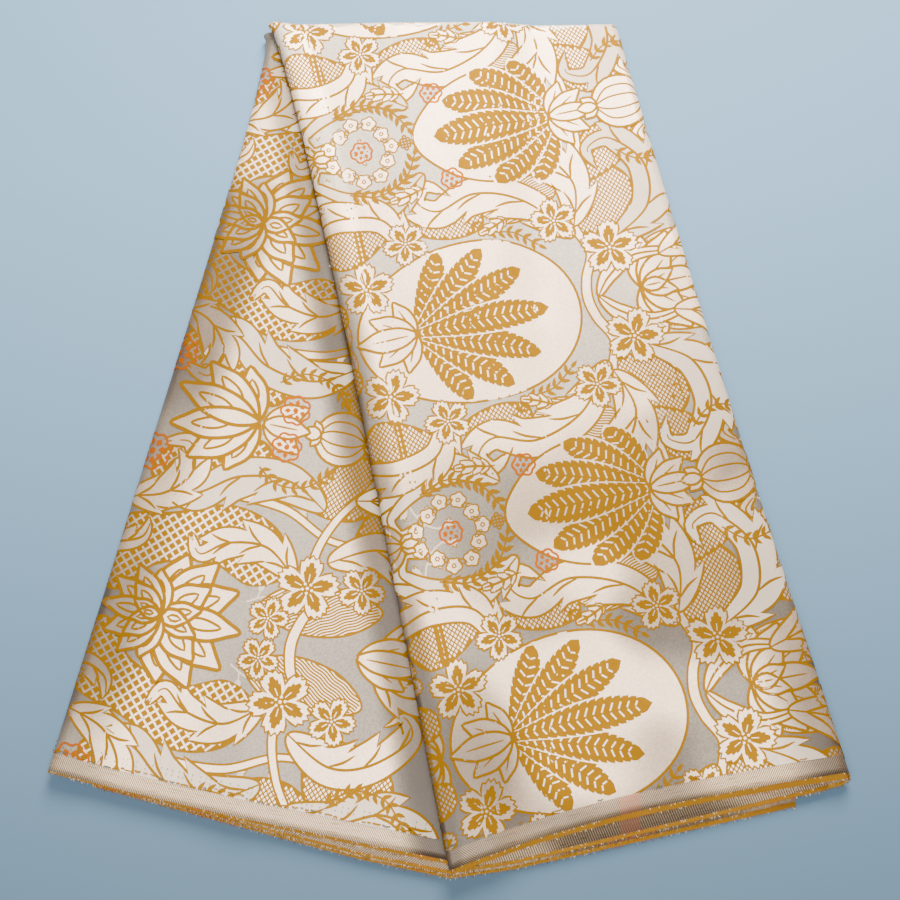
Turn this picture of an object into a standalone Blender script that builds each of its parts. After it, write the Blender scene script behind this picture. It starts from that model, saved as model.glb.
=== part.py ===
"""A cut length of brocade, folded in half across its width and laid back and forth in a fan.

The cloth is one sheet. Its width is doubled at a crease along the top, so each run of the
stack is a bundle of two plies, and both selvedges lie at the bottom. The bundle runs back
and forth between the side creases, and a knife pleat that narrows downwards turns the left
panel under the right one. Metres, +Z up, with the selvedges towards -Y.
"""

import math
from collections import namedtuple

import bmesh
import bpy
from mathutils import Vector

# The sheet, thicker than the real cloth so that it stays a sound solid.
PLY_THICKNESS = 0.0010
PLY_GAP = 0.0006
PLY_PITCH = PLY_THICKNESS + PLY_GAP
PLY_OFFSET = PLY_PITCH / 2
BUNDLE_PITCH = 2 * PLY_PITCH

# Heights of the middle of each bundle above the surface, from the lowest run up.
LOWEST = PLY_OFFSET + PLY_THICKNESS / 2
SECOND = LOWEST + BUNDLE_PITCH
THIRD = SECOND + BUNDLE_PITCH
FOURTH = THIRD + BUNDLE_PITCH
FIFTH = FOURTH + BUNDLE_PITCH
SIXTH = FIFTH + BUNDLE_PITCH

# The rolled creases are fuller than the flat hidden folds.
SIDE_ROLL = 0.0120
PLEAT_ROLL = 0.0066
FLAT_FOLD = BUNDLE_PITCH

# The side rolls are pressed flat near the top, where the pleat lies over the left one.
FULL_ROLL_FROM = 0.06
FULL_ROLL_AT = 0.26

# How far the hidden fold and the cut ends lie in from the side creases.
HIDDEN_FOLD_INSET = 0.030
TUCKED_END_INSET = 0.016
BOTTOM_END_INSET = 0.038

# The fan, seen from above: the cloth's length leans by this angle to X at the selvedges.
FAN_ANGLE = math.radians(12.5)
TIP_ROUNDING = 0.016

# Each crease from the top to the selvedges, bowed sideways most at a share of its length.
Crease = namedtuple("Crease", "x_top y_top x_bottom y_bottom bow bow_at")
CREASES = {
    "left": Crease(-0.1452, 0.3305, -0.2765, -0.2268, 0.0086, 0.22),
    "pleat": Crease(-0.1401, 0.3335, 0.0000, -0.2925, 0.0086, 0.28),
    "inner": Crease(0.0160, 0.3380, 0.0180, -0.2905, 0.0, 0.5),
    "tip": Crease(-0.0050, 0.3380, 0.0000, -0.2912, 0.0, 0.5),
    "right": Crease(0.1301, 0.3375, 0.2745, -0.2285, -0.0032, 0.50),
}

# How far the selvedge of a panel that shows is bowed away from the viewer, and where.
Bow = namedtuple("Bow", "depth at")
SELVEDGE_BOWS = {"right": Bow(0.0080, 0.42), "flap": Bow(0.0080, 0.42), "left": Bow(-0.0034, 0.35)}

# Soft ridges of the two panels that show, each a line with a half width.
Ridge = namedtuple("Ridge", "panel x_from y_from x_to y_to half_width height")
RIDGES = (
    Ridge("right", 0.150, 0.020, 0.215, -0.170, 0.020, 0.0030),
    Ridge("right", 0.055, 0.080, 0.080, -0.280, 0.026, 0.0026),
    Ridge("right", 0.000, -0.180, 0.030, -0.290, 0.016, 0.0024),
    Ridge("right", -0.050, 0.320, -0.020, 0.120, 0.022, 0.0016),
    Ridge("right", 0.160, 0.150, 0.110, -0.040, 0.022, 0.0018),
    Ridge("left", -0.170, 0.150, -0.210, -0.040, 0.020, 0.0020),
    Ridge("left", -0.120, -0.060, -0.145, -0.250, 0.024, 0.0022),
)

# How far the selvedge of each ply passes its row, at the left crease, the tip and the right.
Step = namedtuple("Step", "left tip right")
EVEN = Step(0.0, 0.0, 0.0)
SELVEDGE_STEPS = {
    "right": (EVEN, Step(0.0, 0.0032, 0.0042)),
    "flap": (EVEN, Step(0.0, 0.0032, 0.0042)),
    "left": (EVEN, Step(0.0010, 0.0026, 0.0026)),
    "third": (Step(0.0022, 0.0050, 0.0085), Step(0.0012, 0.0024, 0.0056)),
    "second": (Step(0.0026, 0.0055, 0.0090), Step(0.0016, 0.0036, 0.0062)),
    "lowest": (Step(0.0032, 0.0066, 0.0122), Step(0.0044, 0.0086, 0.0160)),
}

ROWS_PER_PLY = 11
TOP_TURN_STEPS = 4
CLOTH_COLOUR = (0.80, 0.74, 0.66, 1.0)

# A run is a list of knots from crease to crease. A knot is an inset in X from a crease, a
# height, and the number of steps to the next knot.
Knot = namedtuple("Knot", "crease inset height steps")
Turn = namedtuple("Turn", "side size steps upwards onward")
Run = namedtuple("Run", "panel knots turn")
Place = namedtuple("Place", "panel onward share x y z")


def smooth(f):
    """Ease in and out between 0 and 1."""
    f = min(1.0, max(0.0, f))
    return f * f * (3 - 2 * f)


def mix(a, b, f):
    return a + (b - a) * f


def bump(f, at):
    """0 at both ends and 1 at one place between them."""
    return math.sin(math.pi * min(1.0, max(0.0, f)) ** (math.log(0.5) / math.log(at)))


def crease_point(name, t):
    """Where a crease is seen from above: t runs from 0 at the top to 1 at the selvedges."""
    c = CREASES[name]
    x = mix(c.x_top, c.x_bottom, t) + c.bow * bump(t, c.bow_at)
    return x, mix(c.y_top, c.y_bottom, t)


def side_roll(t):
    """How full the side rolls are at row t."""
    share = smooth((t - FULL_ROLL_FROM) / (FULL_ROLL_AT - FULL_ROLL_FROM))
    return mix(FOURTH - LOWEST, SIDE_ROLL, share)


def runs(t):
    """The stack at row t, from the tucked end to the bottom end."""
    roll = side_roll(t)
    return (
        Run(
            "third",
            (
                Knot("right", -TUCKED_END_INSET, THIRD, 6),
                Knot("tip", 0.0, THIRD, 4),
                Knot("left", 0.024, THIRD, 4),
                Knot("left", roll / 2, LOWEST, 0),
            ),
            Turn(1, roll, 8, True, "left"),
        ),
        Run(
            "left",
            (
                Knot("left", roll / 2, LOWEST + roll, 4),
                Knot("left", 0.034, FOURTH, 7),
                Knot("pleat", -0.012, FOURTH, 2),
                Knot("inner", -FLAT_FOLD / 2, FOURTH, 0),
            ),
            Turn(-1, FLAT_FOLD, 5, True, "flap"),
        ),
        Run(
            "flap",
            (
                Knot("inner", -FLAT_FOLD / 2, FIFTH, 3),
                Knot("pleat", PLEAT_ROLL / 2, FIFTH, 0),
            ),
            Turn(1, PLEAT_ROLL, 7, True, "right"),
        ),
        Run(
            "right",
            (
                Knot("pleat", PLEAT_ROLL / 2, FIFTH + PLEAT_ROLL, 4),
                Knot("pleat", 0.026, SIXTH, 2),
                Knot("inner", 0.010, SIXTH, 4),
                Knot("inner", 0.055, FOURTH, 7),
                Knot("right", -0.034, FOURTH, 4),
                Knot("right", -roll / 2, LOWEST + roll, 0),
            ),
            Turn(-1, roll, 8, False, "second"),
        ),
        Run(
            "second",
            (
                Knot("right", -roll / 2, LOWEST, 1),
                Knot("right", -0.014, LOWEST, 3),
                Knot("right", -0.036, SECOND, 4),
                Knot("tip", 0.0, SECOND, 4),
                Knot("left", HIDDEN_FOLD_INSET + FLAT_FOLD / 2, SECOND, 0),
            ),
            Turn(1, FLAT_FOLD, 5, False, "lowest"),
        ),
        Run(
            "lowest",
            (
                Knot("left", HIDDEN_FOLD_INSET + FLAT_FOLD / 2, LOWEST, 4),
                Knot("tip", 0.0, LOWEST, 5),
                Knot("right", -BOTTOM_END_INSET, LOWEST, 0),
            ),
            None,
        ),
    )


def lean(panel, x, t):
    """The angle to X of the cloth's length at this place."""
    if panel in ("right", "flap"):
        return FAN_ANGLE * t
    if panel == "left":
        return -FAN_ANGLE * t
    return FAN_ANGLE * t * math.tanh((x - crease_point("tip", t)[0]) / (2 * TIP_ROUNDING))


def row_y(panel, x, t):
    """Y of row t of a panel at x."""
    if panel in ("right", "flap", "left"):
        start, end = ("left", "inner") if panel == "left" else ("pleat", "right")
        (x0, y0), (x1, y1) = crease_point(start, t), crease_point(end, t)
        f = (x - x0) / (x1 - x0)
        bow = SELVEDGE_BOWS[panel]
        return mix(y0, y1, f) + bow.depth * t * t * bump(f, bow.at)
    tip_x, tip_y = crease_point("tip", t)
    end_x, end_y = crease_point("left" if x < tip_x else "right", t)
    eased = math.hypot(x - tip_x, TIP_ROUNDING) - TIP_ROUNDING
    return mix(tip_y, end_y, eased / (math.hypot(end_x - tip_x, TIP_ROUNDING) - TIP_ROUNDING))


def ridge_height(panel, x, y):
    """How far the soft folds lift a panel at this place."""
    total = 0.0
    for r in RIDGES:
        if r.panel != panel:
            continue
        start = Vector((r.x_from, r.y_from))
        along = Vector((r.x_to, r.y_to)) - start
        away = Vector((x, y)) - start
        f = min(1.0, max(0.0, away.dot(along) / along.length_squared))
        across = (away - along * f).length
        total += r.height * math.exp(-((across / r.half_width) ** 2))
    return total


def knot_positions(run, t):
    """The X of each knot of a run at row t, evenly closed up where two creases come close."""
    positions = [crease_point(knot.crease, t)[0] + knot.inset for knot in run.knots]
    start, end = positions[0], positions[-1]
    heading = 1 if end > start else -1
    steps = [knot.steps for knot in run.knots]
    least = abs(end - start) / sum(steps) / 6
    for i in range(1, len(positions) - 1):
        after = positions[i - 1] + heading * least * steps[i - 1]
        before = end - heading * least * sum(steps[i:])
        positions[i] = heading * min(max(heading * positions[i], heading * after), heading * before)
    return positions


def place_on(panel, x, z, t):
    y = row_y(panel, x, t)
    return Place(panel, panel, 0.0, x, y, z + ridge_height(panel, x, y))


def turn_places(run, centre_x, t):
    """The half-circle at a crease. It bulges away from the run, up or down a level."""
    turn = run.turn
    lift = 1 if turn.upwards else -1
    radius = turn.size / 2
    middle = run.knots[-1].height + lift * radius
    places = []
    for step in range(turn.steps):
        angle = math.pi * step / turn.steps
        share = math.sin(angle / 2) ** 2
        y = mix(row_y(run.panel, centre_x, t), row_y(turn.onward, centre_x, t), share)
        slope = mix(lean(run.panel, centre_x, t), lean(turn.onward, centre_x, t), share)
        ridge = mix(
            ridge_height(run.panel, centre_x, y), ridge_height(turn.onward, centre_x, y), share
        )
        out = -turn.side * radius * math.sin(angle)
        x = centre_x + out * math.cos(slope)
        z = middle - lift * radius * math.cos(angle) + ridge
        places.append(Place(run.panel, turn.onward, share, x, y + out * math.sin(slope), z))
    return places


def run_places(run, t):
    """The middle line of a run's bundle at row t, then of the half-circle that ends it."""
    positions = knot_positions(run, t)
    places = []
    for i, knot in enumerate(run.knots[:-1]):
        for step in range(knot.steps):
            f = step / knot.steps
            x = mix(positions[i], positions[i + 1], f)
            z = mix(knot.height, run.knots[i + 1].height, smooth(f))
            places.append(place_on(run.panel, x, z, t))
    if run.turn is None:
        return places + [place_on(run.panel, positions[-1], run.knots[-1].height, t)]
    return places + turn_places(run, positions[-1], t)


def middle_line(t):
    """Every place along the bundle at row t, from the tucked end to the bottom end."""
    return [place for run in runs(t) for place in run_places(run, t)]


def slope_at(place, t):
    return mix(lean(place.panel, place.x, t), lean(place.onward, place.x, t), place.share)


def side_directions(line, t):
    """At each place, the direction from the inner ply to the outer one."""
    found = []
    for i, place in enumerate(line):
        before, after = line[max(0, i - 1)], line[min(len(line) - 1, i + 1)]
        slope = slope_at(place, t)
        along = Vector((math.cos(slope), math.sin(slope), 0.0))
        step = Vector((after.x - before.x, after.y - before.y, after.z - before.z))
        side = Vector((0, 0, 1)) * step.dot(along) - along * step.z
        found.append(side.normalized())
    return found


def step_at(panel, ply, x, t):
    """How far this ply's edge passes its row, between the left crease, the tip and the right."""
    step = SELVEDGE_STEPS[panel][ply]
    tip = crease_point("tip", t)[0]
    if x < tip:
        return mix(step.tip, step.left, (tip - x) / (tip - crease_point("left", t)[0]))
    return mix(step.tip, step.right, (x - tip) / (crease_point("right", t)[0] - tip))


def selvedge_step(place, ply, t):
    here, onward = (step_at(panel, ply, place.x, t) for panel in (place.panel, place.onward))
    return mix(here, onward, place.share) * smooth(2 * t - 1)


def rows():
    """Each row across the cloth's width: t, the ply, and the turn over the top crease."""
    found = [(1 - i / ROWS_PER_PLY, 0, 0.0) for i in range(ROWS_PER_PLY)]
    found += [(0.0, 0, math.pi * i / TOP_TURN_STEPS) for i in range(TOP_TURN_STEPS + 1)]
    found += [((i + 1) / ROWS_PER_PLY, 1, math.pi) for i in range(ROWS_PER_PLY)]
    return found


def folded_rows():
    """The cloth's folded places, a list for each row from one selvedge to the other."""
    table = []
    for t, ply, turn in rows():
        line = middle_line(t)
        row = []
        for place, side in zip(line, side_directions(line, t)):
            slope = slope_at(place, t)
            down = Vector((math.sin(slope), -math.cos(slope), 0.0))
            point = Vector((place.x, place.y, place.z)) + side * PLY_OFFSET * math.cos(turn)
            point.y += PLY_OFFSET * math.sin(turn)
            row.append(point + down * selvedge_step(place, ply, t))
        table.append(row)
    return table


def flat_grid(columns, lines):
    """The cut length as a flat grid, one unit a cell, before it is folded."""
    mesh = bpy.data.meshes.new("brocade_length")
    sheet = bmesh.new()
    bmesh.ops.create_grid(sheet, x_segments=columns - 1, y_segments=lines - 1, size=0.5)
    bmesh.ops.scale(sheet, vec=(columns - 1, lines - 1, 1), verts=sheet.verts)
    bmesh.ops.translate(sheet, vec=((columns - 1) / 2, (lines - 1) / 2, 0), verts=sheet.verts)
    sheet.to_mesh(mesh)
    sheet.free()
    return mesh


def brocade_material():
    material = bpy.data.materials.new("cream and gold brocade")
    material.use_nodes = True
    shader = material.node_tree.nodes["Principled BSDF"]
    shader.inputs["Base Color"].default_value = CLOTH_COLOUR
    shader.inputs["Roughness"].default_value = 0.45
    shader.inputs["Metallic"].default_value = 0.0
    return material


def centred_on_base(mesh):
    """Moves the mesh so that the middle of its base is the origin."""
    xs = [v.co.x for v in mesh.vertices]
    ys = [v.co.y for v in mesh.vertices]
    shift = Vector((-(min(xs) + max(xs)) / 2, -(min(ys) + max(ys)) / 2, 0.0))
    for vertex in mesh.vertices:
        vertex.co += shift


def brocade_length(collection):
    """The whole cloth: a flat grid folded row by row, then given its thickness."""
    table = folded_rows()
    mesh = flat_grid(len(table[0]), len(table))
    for vertex in mesh.vertices:
        vertex.co = table[round(vertex.co.y)][round(vertex.co.x)]
    centred_on_base(mesh)
    cloth = bpy.data.objects.new("brocade_length", mesh)
    collection.objects.link(cloth)
    cloth.data.materials.append(brocade_material())
    wall = cloth.modifiers.new("cloth thickness", "SOLIDIFY")
    wall.thickness = PLY_THICKNESS
    wall.offset = 0.0
    return cloth


def main():
    for obj in list(bpy.data.objects):
        bpy.data.objects.remove(obj, do_unlink=True)
    collection = bpy.data.collections.new("Folded brocade")
    bpy.context.scene.collection.children.link(collection)
    brocade_length(collection)


main()
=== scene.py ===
"""Looks of a folded length of brocade: the cloth, its woven figure and the stage it lies on."""

import functools
import math
import random
from collections import namedtuple

import bmesh
import bpy
from bpy.props import FloatProperty, FloatVectorProperty, PointerProperty
from bpy.types import Operator, Panel, PropertyGroup
from mathutils import Matrix, Vector
from mathutils.bvhtree import BVHTree
from mathutils.geometry import barycentric_transform


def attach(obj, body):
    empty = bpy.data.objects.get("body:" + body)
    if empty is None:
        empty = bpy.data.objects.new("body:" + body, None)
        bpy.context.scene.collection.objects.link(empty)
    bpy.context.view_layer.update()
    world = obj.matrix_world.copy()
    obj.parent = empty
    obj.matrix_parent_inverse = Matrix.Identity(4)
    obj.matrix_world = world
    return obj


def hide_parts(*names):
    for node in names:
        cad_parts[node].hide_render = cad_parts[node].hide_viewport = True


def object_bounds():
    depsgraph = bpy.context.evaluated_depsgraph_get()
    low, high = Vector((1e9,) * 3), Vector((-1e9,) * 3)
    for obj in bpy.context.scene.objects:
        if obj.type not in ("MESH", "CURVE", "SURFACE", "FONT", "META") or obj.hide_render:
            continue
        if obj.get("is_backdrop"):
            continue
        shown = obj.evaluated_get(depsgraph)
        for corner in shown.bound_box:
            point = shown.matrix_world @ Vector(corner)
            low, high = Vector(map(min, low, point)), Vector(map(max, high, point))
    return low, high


bl_info = {
    "name": "Folded brocade",
    "version": (1, 0, 0),
    "blender": (4, 5, 0),
    "location": "View3D > Sidebar > Brocade",
    "description": "Weaves and folds a length of cream and gold brocade over its packed model",
    "category": "Object",
}

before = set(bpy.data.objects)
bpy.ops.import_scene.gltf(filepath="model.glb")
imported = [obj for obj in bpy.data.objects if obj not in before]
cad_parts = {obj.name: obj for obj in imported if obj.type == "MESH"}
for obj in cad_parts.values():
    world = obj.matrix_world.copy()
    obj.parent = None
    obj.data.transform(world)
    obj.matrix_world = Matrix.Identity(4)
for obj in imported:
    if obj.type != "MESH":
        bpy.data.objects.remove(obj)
CAD_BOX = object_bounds()
CAD_NODE = "brocade_length"
BODY = "root"
MM = 0.001

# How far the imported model's middle lies from the place that the creases are measured from.
BASE_SHIFT = Vector((0.000632, -0.0195, 0.0))

# The folds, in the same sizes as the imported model's.
PLY_OFFSET = 0.0008
BUNDLE_PITCH = 4 * PLY_OFFSET
LOWEST = 0.0013
SECOND = LOWEST + BUNDLE_PITCH
THIRD = SECOND + BUNDLE_PITCH
FOURTH = THIRD + BUNDLE_PITCH
FIFTH = FOURTH + BUNDLE_PITCH
SIXTH = FIFTH + BUNDLE_PITCH
PACKED_THICKNESS = 0.0010
FLAT_FOLD = BUNDLE_PITCH
FULL_ROLL_FROM = 0.06
FULL_ROLL_AT = 0.26
HIDDEN_FOLD_INSET = 0.030
TUCKED_END_INSET = 0.016
BOTTOM_END_INSET = 0.038
TIP_ROUNDING = 0.016

# Each crease from the top to the selvedges, bowed sideways most at a share of its length.
Crease = namedtuple("Crease", "x_top y_top x_bottom y_bottom bow bow_at")
CREASES = {
    "left": Crease(-0.1452, 0.3305, -0.2765, -0.2268, 0.0086, 0.22),
    "pleat": Crease(-0.1401, 0.3335, 0.0000, -0.2925, 0.0086, 0.28),
    "inner": Crease(0.0160, 0.3380, 0.0180, -0.2905, 0.0, 0.5),
    "tip": Crease(-0.0050, 0.3380, 0.0000, -0.2912, 0.0, 0.5),
    "right": Crease(0.1301, 0.3375, 0.2745, -0.2285, -0.0032, 0.50),
}

# How far the selvedge of a panel that shows is bowed away from the viewer, and where.
Bow = namedtuple("Bow", "depth at")
SELVEDGE_BOWS = {"right": Bow(0.0080, 0.42), "flap": Bow(0.0080, 0.42), "left": Bow(-0.0034, 0.35)}

# Soft ridges and troughs of the two panels that show, each a line with a half width.
Ridge = namedtuple("Ridge", "panel x_from y_from x_to y_to half_width height")
RIDGES = (
    Ridge("right", 0.150, 0.020, 0.215, -0.170, 0.020, 0.0030),
    Ridge("right", 0.055, 0.080, 0.080, -0.280, 0.026, 0.0026),
    Ridge("right", 0.000, -0.180, 0.030, -0.290, 0.016, 0.0024),
    Ridge("right", -0.050, 0.320, -0.020, 0.120, 0.022, 0.0016),
    Ridge("right", 0.160, 0.150, 0.110, -0.040, 0.022, 0.0018),
    Ridge("left", -0.170, 0.150, -0.210, -0.040, 0.020, 0.0020),
    Ridge("left", -0.120, -0.060, -0.145, -0.250, 0.024, 0.0022),
)

# Painted shade beside a crease, which stands in for the satin turning from the light over the rolls and for
# the pleat's shadow: how far from the crease it is full and has gone, and how strong it is at places from
# the top of the cloth down.
FoldShade = namedtuple("FoldShade", "panel crease full gone strengths")
PAINTED_FOLD_SHADES = (
    FoldShade("left", "left", 0.018, 0.050, (
        (0.34, 0.10), (0.215, 0.15), (0.185, 1.0), (0.055, 1.0), (0.02, 0.45), (-0.075, 0.45),
        (-0.10, 0.95), (-0.165, 0.90), (-0.21, 0.35),
    )),
    FoldShade("left", "pleat", -0.010, -0.032, ((0.34, 0.40), (0.24, 0.65), (0.14, 1.0), (-0.30, 1.0))),
    FoldShade("right", "pleat", 0.003, 0.020, ((0.34, 0.05), (0.20, 0.30), (0.08, 0.75), (-0.30, 0.85))),
    FoldShade("right", "right", -0.012, -0.044, (
        (0.34, 0.05), (0.05, 0.10), (-0.02, 0.40), (-0.10, 0.30), (-0.15, 0.65), (-0.23, 0.65),
    )),
    FoldShade("right", "pleat", 0.030, 0.085, ((0.34, 0.0), (-0.16, 0.0), (-0.22, 0.35), (-0.30, 0.45))),
    FoldShade("right", "right", -0.080, -0.120, ((0.34, 0.0), (0.12, 0.0), (0.05, 0.12), (-0.05, 0.0))),
)

# How far the selvedge of each ply passes its row, at the left crease, the tip and the right.
Step = namedtuple("Step", "left tip right")
EVEN = Step(0.0, 0.0, 0.0)
SELVEDGE_STEPS = {
    "right": (EVEN, Step(0.0, 0.0032, 0.0042)),
    "flap": (EVEN, Step(0.0, 0.0032, 0.0042)),
    "left": (EVEN, Step(0.0010, 0.0026, 0.0026)),
    "third": (Step(0.0022, 0.0050, 0.0085), Step(0.0012, 0.0024, 0.0056)),
    "second": (Step(0.0026, 0.0055, 0.0090), Step(0.0016, 0.0036, 0.0062)),
    "lowest": (Step(0.0032, 0.0066, 0.0122), Step(0.0044, 0.0086, 0.0160)),
}

# The rows across the cloth: the outer ply shows, the inner one only at its selvedge.
OUTER_ROWS = 128
TOP_TURN_STEPS = 6
INNER_ROWS = 24

Knot = namedtuple("Knot", "crease inset height steps")
Turn = namedtuple("Turn", "side size steps upwards onward")
Run = namedtuple("Run", "panel knots turn")
Place = namedtuple("Place", "panel onward share x y z")

# The flat cloth of each panel that shows: where its selvedge starts, and which way it runs.
Section = namedtuple("Section", "crease far_crease origin angle")
SECTIONS = {
    "left": Section("left", "inner", Vector((-0.2765, -0.2268)), math.atan2(-0.0637, 0.2945)),
    "right": Section("pleat", "right", Vector((0.0, -0.2925)), math.atan2(0.0640, 0.2745)),
}


def colour_setting(name, description, default):
    """A colour that the sidebar shows."""
    return FloatVectorProperty(
        name=name, description=description, default=default, subtype="COLOR", min=0, max=1
    )


class BrocadeClothSettings(PropertyGroup):
    cloth_thickness: FloatProperty(
        name="Cloth thickness",
        description="Thickness of one ply of the cloth",
        default=0.0005, min=0.0001, max=0.001, unit="LENGTH",
    )
    side_roll: FloatProperty(
        name="Side roll",
        description="Height of the soft rolls along both sides, inside the bundle's plies",
        default=0.0120, unit="LENGTH",
    )
    pleat_roll: FloatProperty(
        name="Pleat roll",
        description="Height of the pleat's rolled edge",
        default=0.0066, unit="LENGTH",
    )
    fan_angle: FloatProperty(
        name="Fan angle",
        description="Lean of the cloth's length to the surface's X at the selvedges",
        default=math.radians(12.5), subtype="ANGLE",
    )
    selvedge_width: FloatProperty(
        name="Selvedge width",
        description="Width of the plain twill band along the selvedge",
        default=0.0120, unit="LENGTH",
    )
    ground_colour: colour_setting("Ground", "Colour of the satin ground", (0.42, 0.372, 0.315))
    # The ground's colour in painted shade, where less light falls towards the viewer.
    shaded_ground_colour: colour_setting(
        "Ground near the selvedges", "Colour of the ground where it turns duller", (0.185, 0.158, 0.130)
    )
    selvedge_colour: colour_setting("Selvedge", "Colour of the twill band", (0.76, 0.60, 0.43))
    twill_line_colour: colour_setting(
        "Twill lines", "Colour of the dark lines between the band's twill ribs", (0.20, 0.125, 0.060)
    )
    pink_colour: colour_setting(
        "Pink weft", "Colour of the weft that crosses the band at the right", (0.70, 0.25, 0.14)
    )
    wrong_side_colour: colour_setting(
        "Wrong side", "Colour of the gold floats on the cloth's wrong side", (0.36, 0.17, 0.008)
    )


class BrocadeFigureSettings(PropertyGroup):
    line_weight: FloatProperty(
        name="Line weight",
        description="How much bolder than drawn the figure's lines are woven",
        default=1.36, min=0.5, max=2.0,
    )
    white: colour_setting("White", "Colour of the bright satin floats", (0.98, 0.76, 0.565))
    gold: colour_setting("Gold", "Colour of the gold floats", (0.228, 0.110, 0.0035))
    copper: colour_setting("Copper", "Colour of the copper rosettes", (0.34, 0.082, 0.001))
    grey: colour_setting("Grey", "Colour of the small dark sprigs", (0.085, 0.098, 0.070))
    cream: colour_setting(
        "Cream", "Colour of the plain loose threads along the selvedges", (0.55, 0.44, 0.33)
    )
    # The pale sprigs' lighter colour is painted sheen: on the cloth they stand out from the ground only by
    # their gloss.
    pale: colour_setting(
        "Pale", "Colour of the sprigs that stand out on the ground only by their gloss", (0.60, 0.51, 0.42)
    )


class BrocadeStageSettings(PropertyGroup):
    floor_size: FloatProperty(
        name="Floor size", description="Side of the square floor", default=16.0, unit="LENGTH",
    )
    floor_colour: colour_setting("Floor", "Colour of the plain floor", (0.108, 0.226, 0.370))
    camera_tilt: FloatProperty(
        name="Camera tilt", description="The camera's angle from straight down",
        default=math.radians(12.0), subtype="ANGLE",
    )
    camera_distance: FloatProperty(
        name="Camera distance", description="From the camera to the middle of the cloth",
        default=0.9089, unit="LENGTH",
    )
    camera_view: FloatProperty(
        name="Field of view", description="The camera's angle of view",
        default=math.radians(40.0), subtype="ANGLE",
    )
    key_power: FloatProperty(
        name="Key light", description="Power of the wide light beyond the cloth's top",
        default=98.0, min=0, unit="POWER",
    )
    fill_power: FloatProperty(
        name="Fill light", description="Power of the light above the camera",
        default=40.0, min=0, unit="POWER",
    )
    room_light: FloatProperty(
        name="Room light", description="Strength of the soft light from all around",
        default=0.5, min=0, subtype="FACTOR",
    )


def smooth(f):
    """Ease in and out between 0 and 1."""
    f = min(1.0, max(0.0, f))
    return f * f * (3 - 2 * f)


def mix(a, b, f):
    """The value at a share of the way from a to b."""
    return a + (b - a) * f


def bump(f, at):
    """0 at both ends and 1 at one place between them."""
    return math.sin(math.pi * min(1.0, max(0.0, f)) ** (math.log(0.5) / math.log(at)))


def crease_point(name, t):
    """Where a crease is seen from above: t runs from 0 at the top to 1 at the selvedges."""
    c = CREASES[name]
    return Vector((mix(c.x_top, c.x_bottom, t) + c.bow * bump(t, c.bow_at), mix(c.y_top, c.y_bottom, t)))


def runs(t, cloth):
    """The stack at row t, from the tucked end to the bottom end."""
    share = smooth((t - FULL_ROLL_FROM) / (FULL_ROLL_AT - FULL_ROLL_FROM))
    roll = mix(FOURTH - LOWEST, cloth.side_roll, share)
    pleat = cloth.pleat_roll
    hidden = HIDDEN_FOLD_INSET + FLAT_FOLD / 2
    third = (
        Knot("right", -TUCKED_END_INSET, THIRD, 6),
        Knot("tip", 0.0, THIRD, 4),
        Knot("left", 0.024, THIRD, 8),
        Knot("left", roll / 2, LOWEST, 0),
    )
    left = (
        Knot("left", roll / 2, LOWEST + roll, 12),
        Knot("left", 0.034, FOURTH, 44),
        Knot("pleat", -0.012, FOURTH, 8),
        Knot("inner", -FLAT_FOLD / 2, FOURTH, 0),
    )
    flap = (
        Knot("inner", -FLAT_FOLD / 2, FIFTH, 3),
        Knot("pleat", pleat / 2, FIFTH, 0),
    )
    right = (
        Knot("pleat", pleat / 2, FIFTH + pleat, 10),
        Knot("pleat", 0.026, SIXTH, 4),
        Knot("inner", 0.010, SIXTH, 12),
        Knot("inner", 0.055, FOURTH, 38),
        Knot("right", -0.034, FOURTH, 12),
        Knot("right", -roll / 2, LOWEST + roll, 0),
    )
    second = (
        Knot("right", -roll / 2, LOWEST, 2),
        Knot("right", -0.014, LOWEST, 5),
        Knot("right", -0.036, SECOND, 4),
        Knot("tip", 0.0, SECOND, 4),
        Knot("left", hidden, SECOND, 0),
    )
    lowest = (
        Knot("left", hidden, LOWEST, 4),
        Knot("tip", 0.0, LOWEST, 6),
        Knot("right", -BOTTOM_END_INSET, LOWEST, 0),
    )
    return (
        Run("third", third, Turn(1, roll, 16, True, "left")),
        Run("left", left, Turn(-1, FLAT_FOLD, 5, True, "flap")),
        Run("flap", flap, Turn(1, pleat, 14, True, "right")),
        Run("right", right, Turn(-1, roll, 16, False, "second")),
        Run("second", second, Turn(1, FLAT_FOLD, 5, False, "lowest")),
        Run("lowest", lowest, None),
    )


def lean(panel, x, t, cloth):
    """The angle to X of the cloth's length at this place."""
    if panel in ("right", "flap"):
        return cloth.fan_angle * t
    if panel == "left":
        return -cloth.fan_angle * t
    return cloth.fan_angle * t * math.tanh((x - crease_point("tip", t).x) / (2 * TIP_ROUNDING))


def row_y(panel, x, t):
    """Y of row t of a panel at x."""
    if panel in ("right", "flap", "left"):
        start, end = ("left", "inner") if panel == "left" else ("pleat", "right")
        a, b = crease_point(start, t), crease_point(end, t)
        f = (x - a.x) / (b.x - a.x)
        bow = SELVEDGE_BOWS[panel]
        return mix(a.y, b.y, f) + bow.depth * t * t * bump(f, bow.at)
    tip = crease_point("tip", t)
    end = crease_point("left" if x < tip.x else "right", t)
    eased = math.hypot(x - tip.x, TIP_ROUNDING) - TIP_ROUNDING
    return mix(tip.y, end.y, eased / (math.hypot(end.x - tip.x, TIP_ROUNDING) - TIP_ROUNDING))


def ridge_height(panel, x, y):
    """How far the soft folds lift a panel at this place."""
    total = 0.0
    for r in RIDGES:
        if r.panel != panel:
            continue
        start = Vector((r.x_from, r.y_from))
        along = Vector((r.x_to, r.y_to)) - start
        away = Vector((x, y)) - start
        f = min(1.0, max(0.0, away.dot(along) / along.length_squared))
        total += r.height * math.exp(-(((away - along * f).length / r.half_width) ** 2))
    return total


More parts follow.
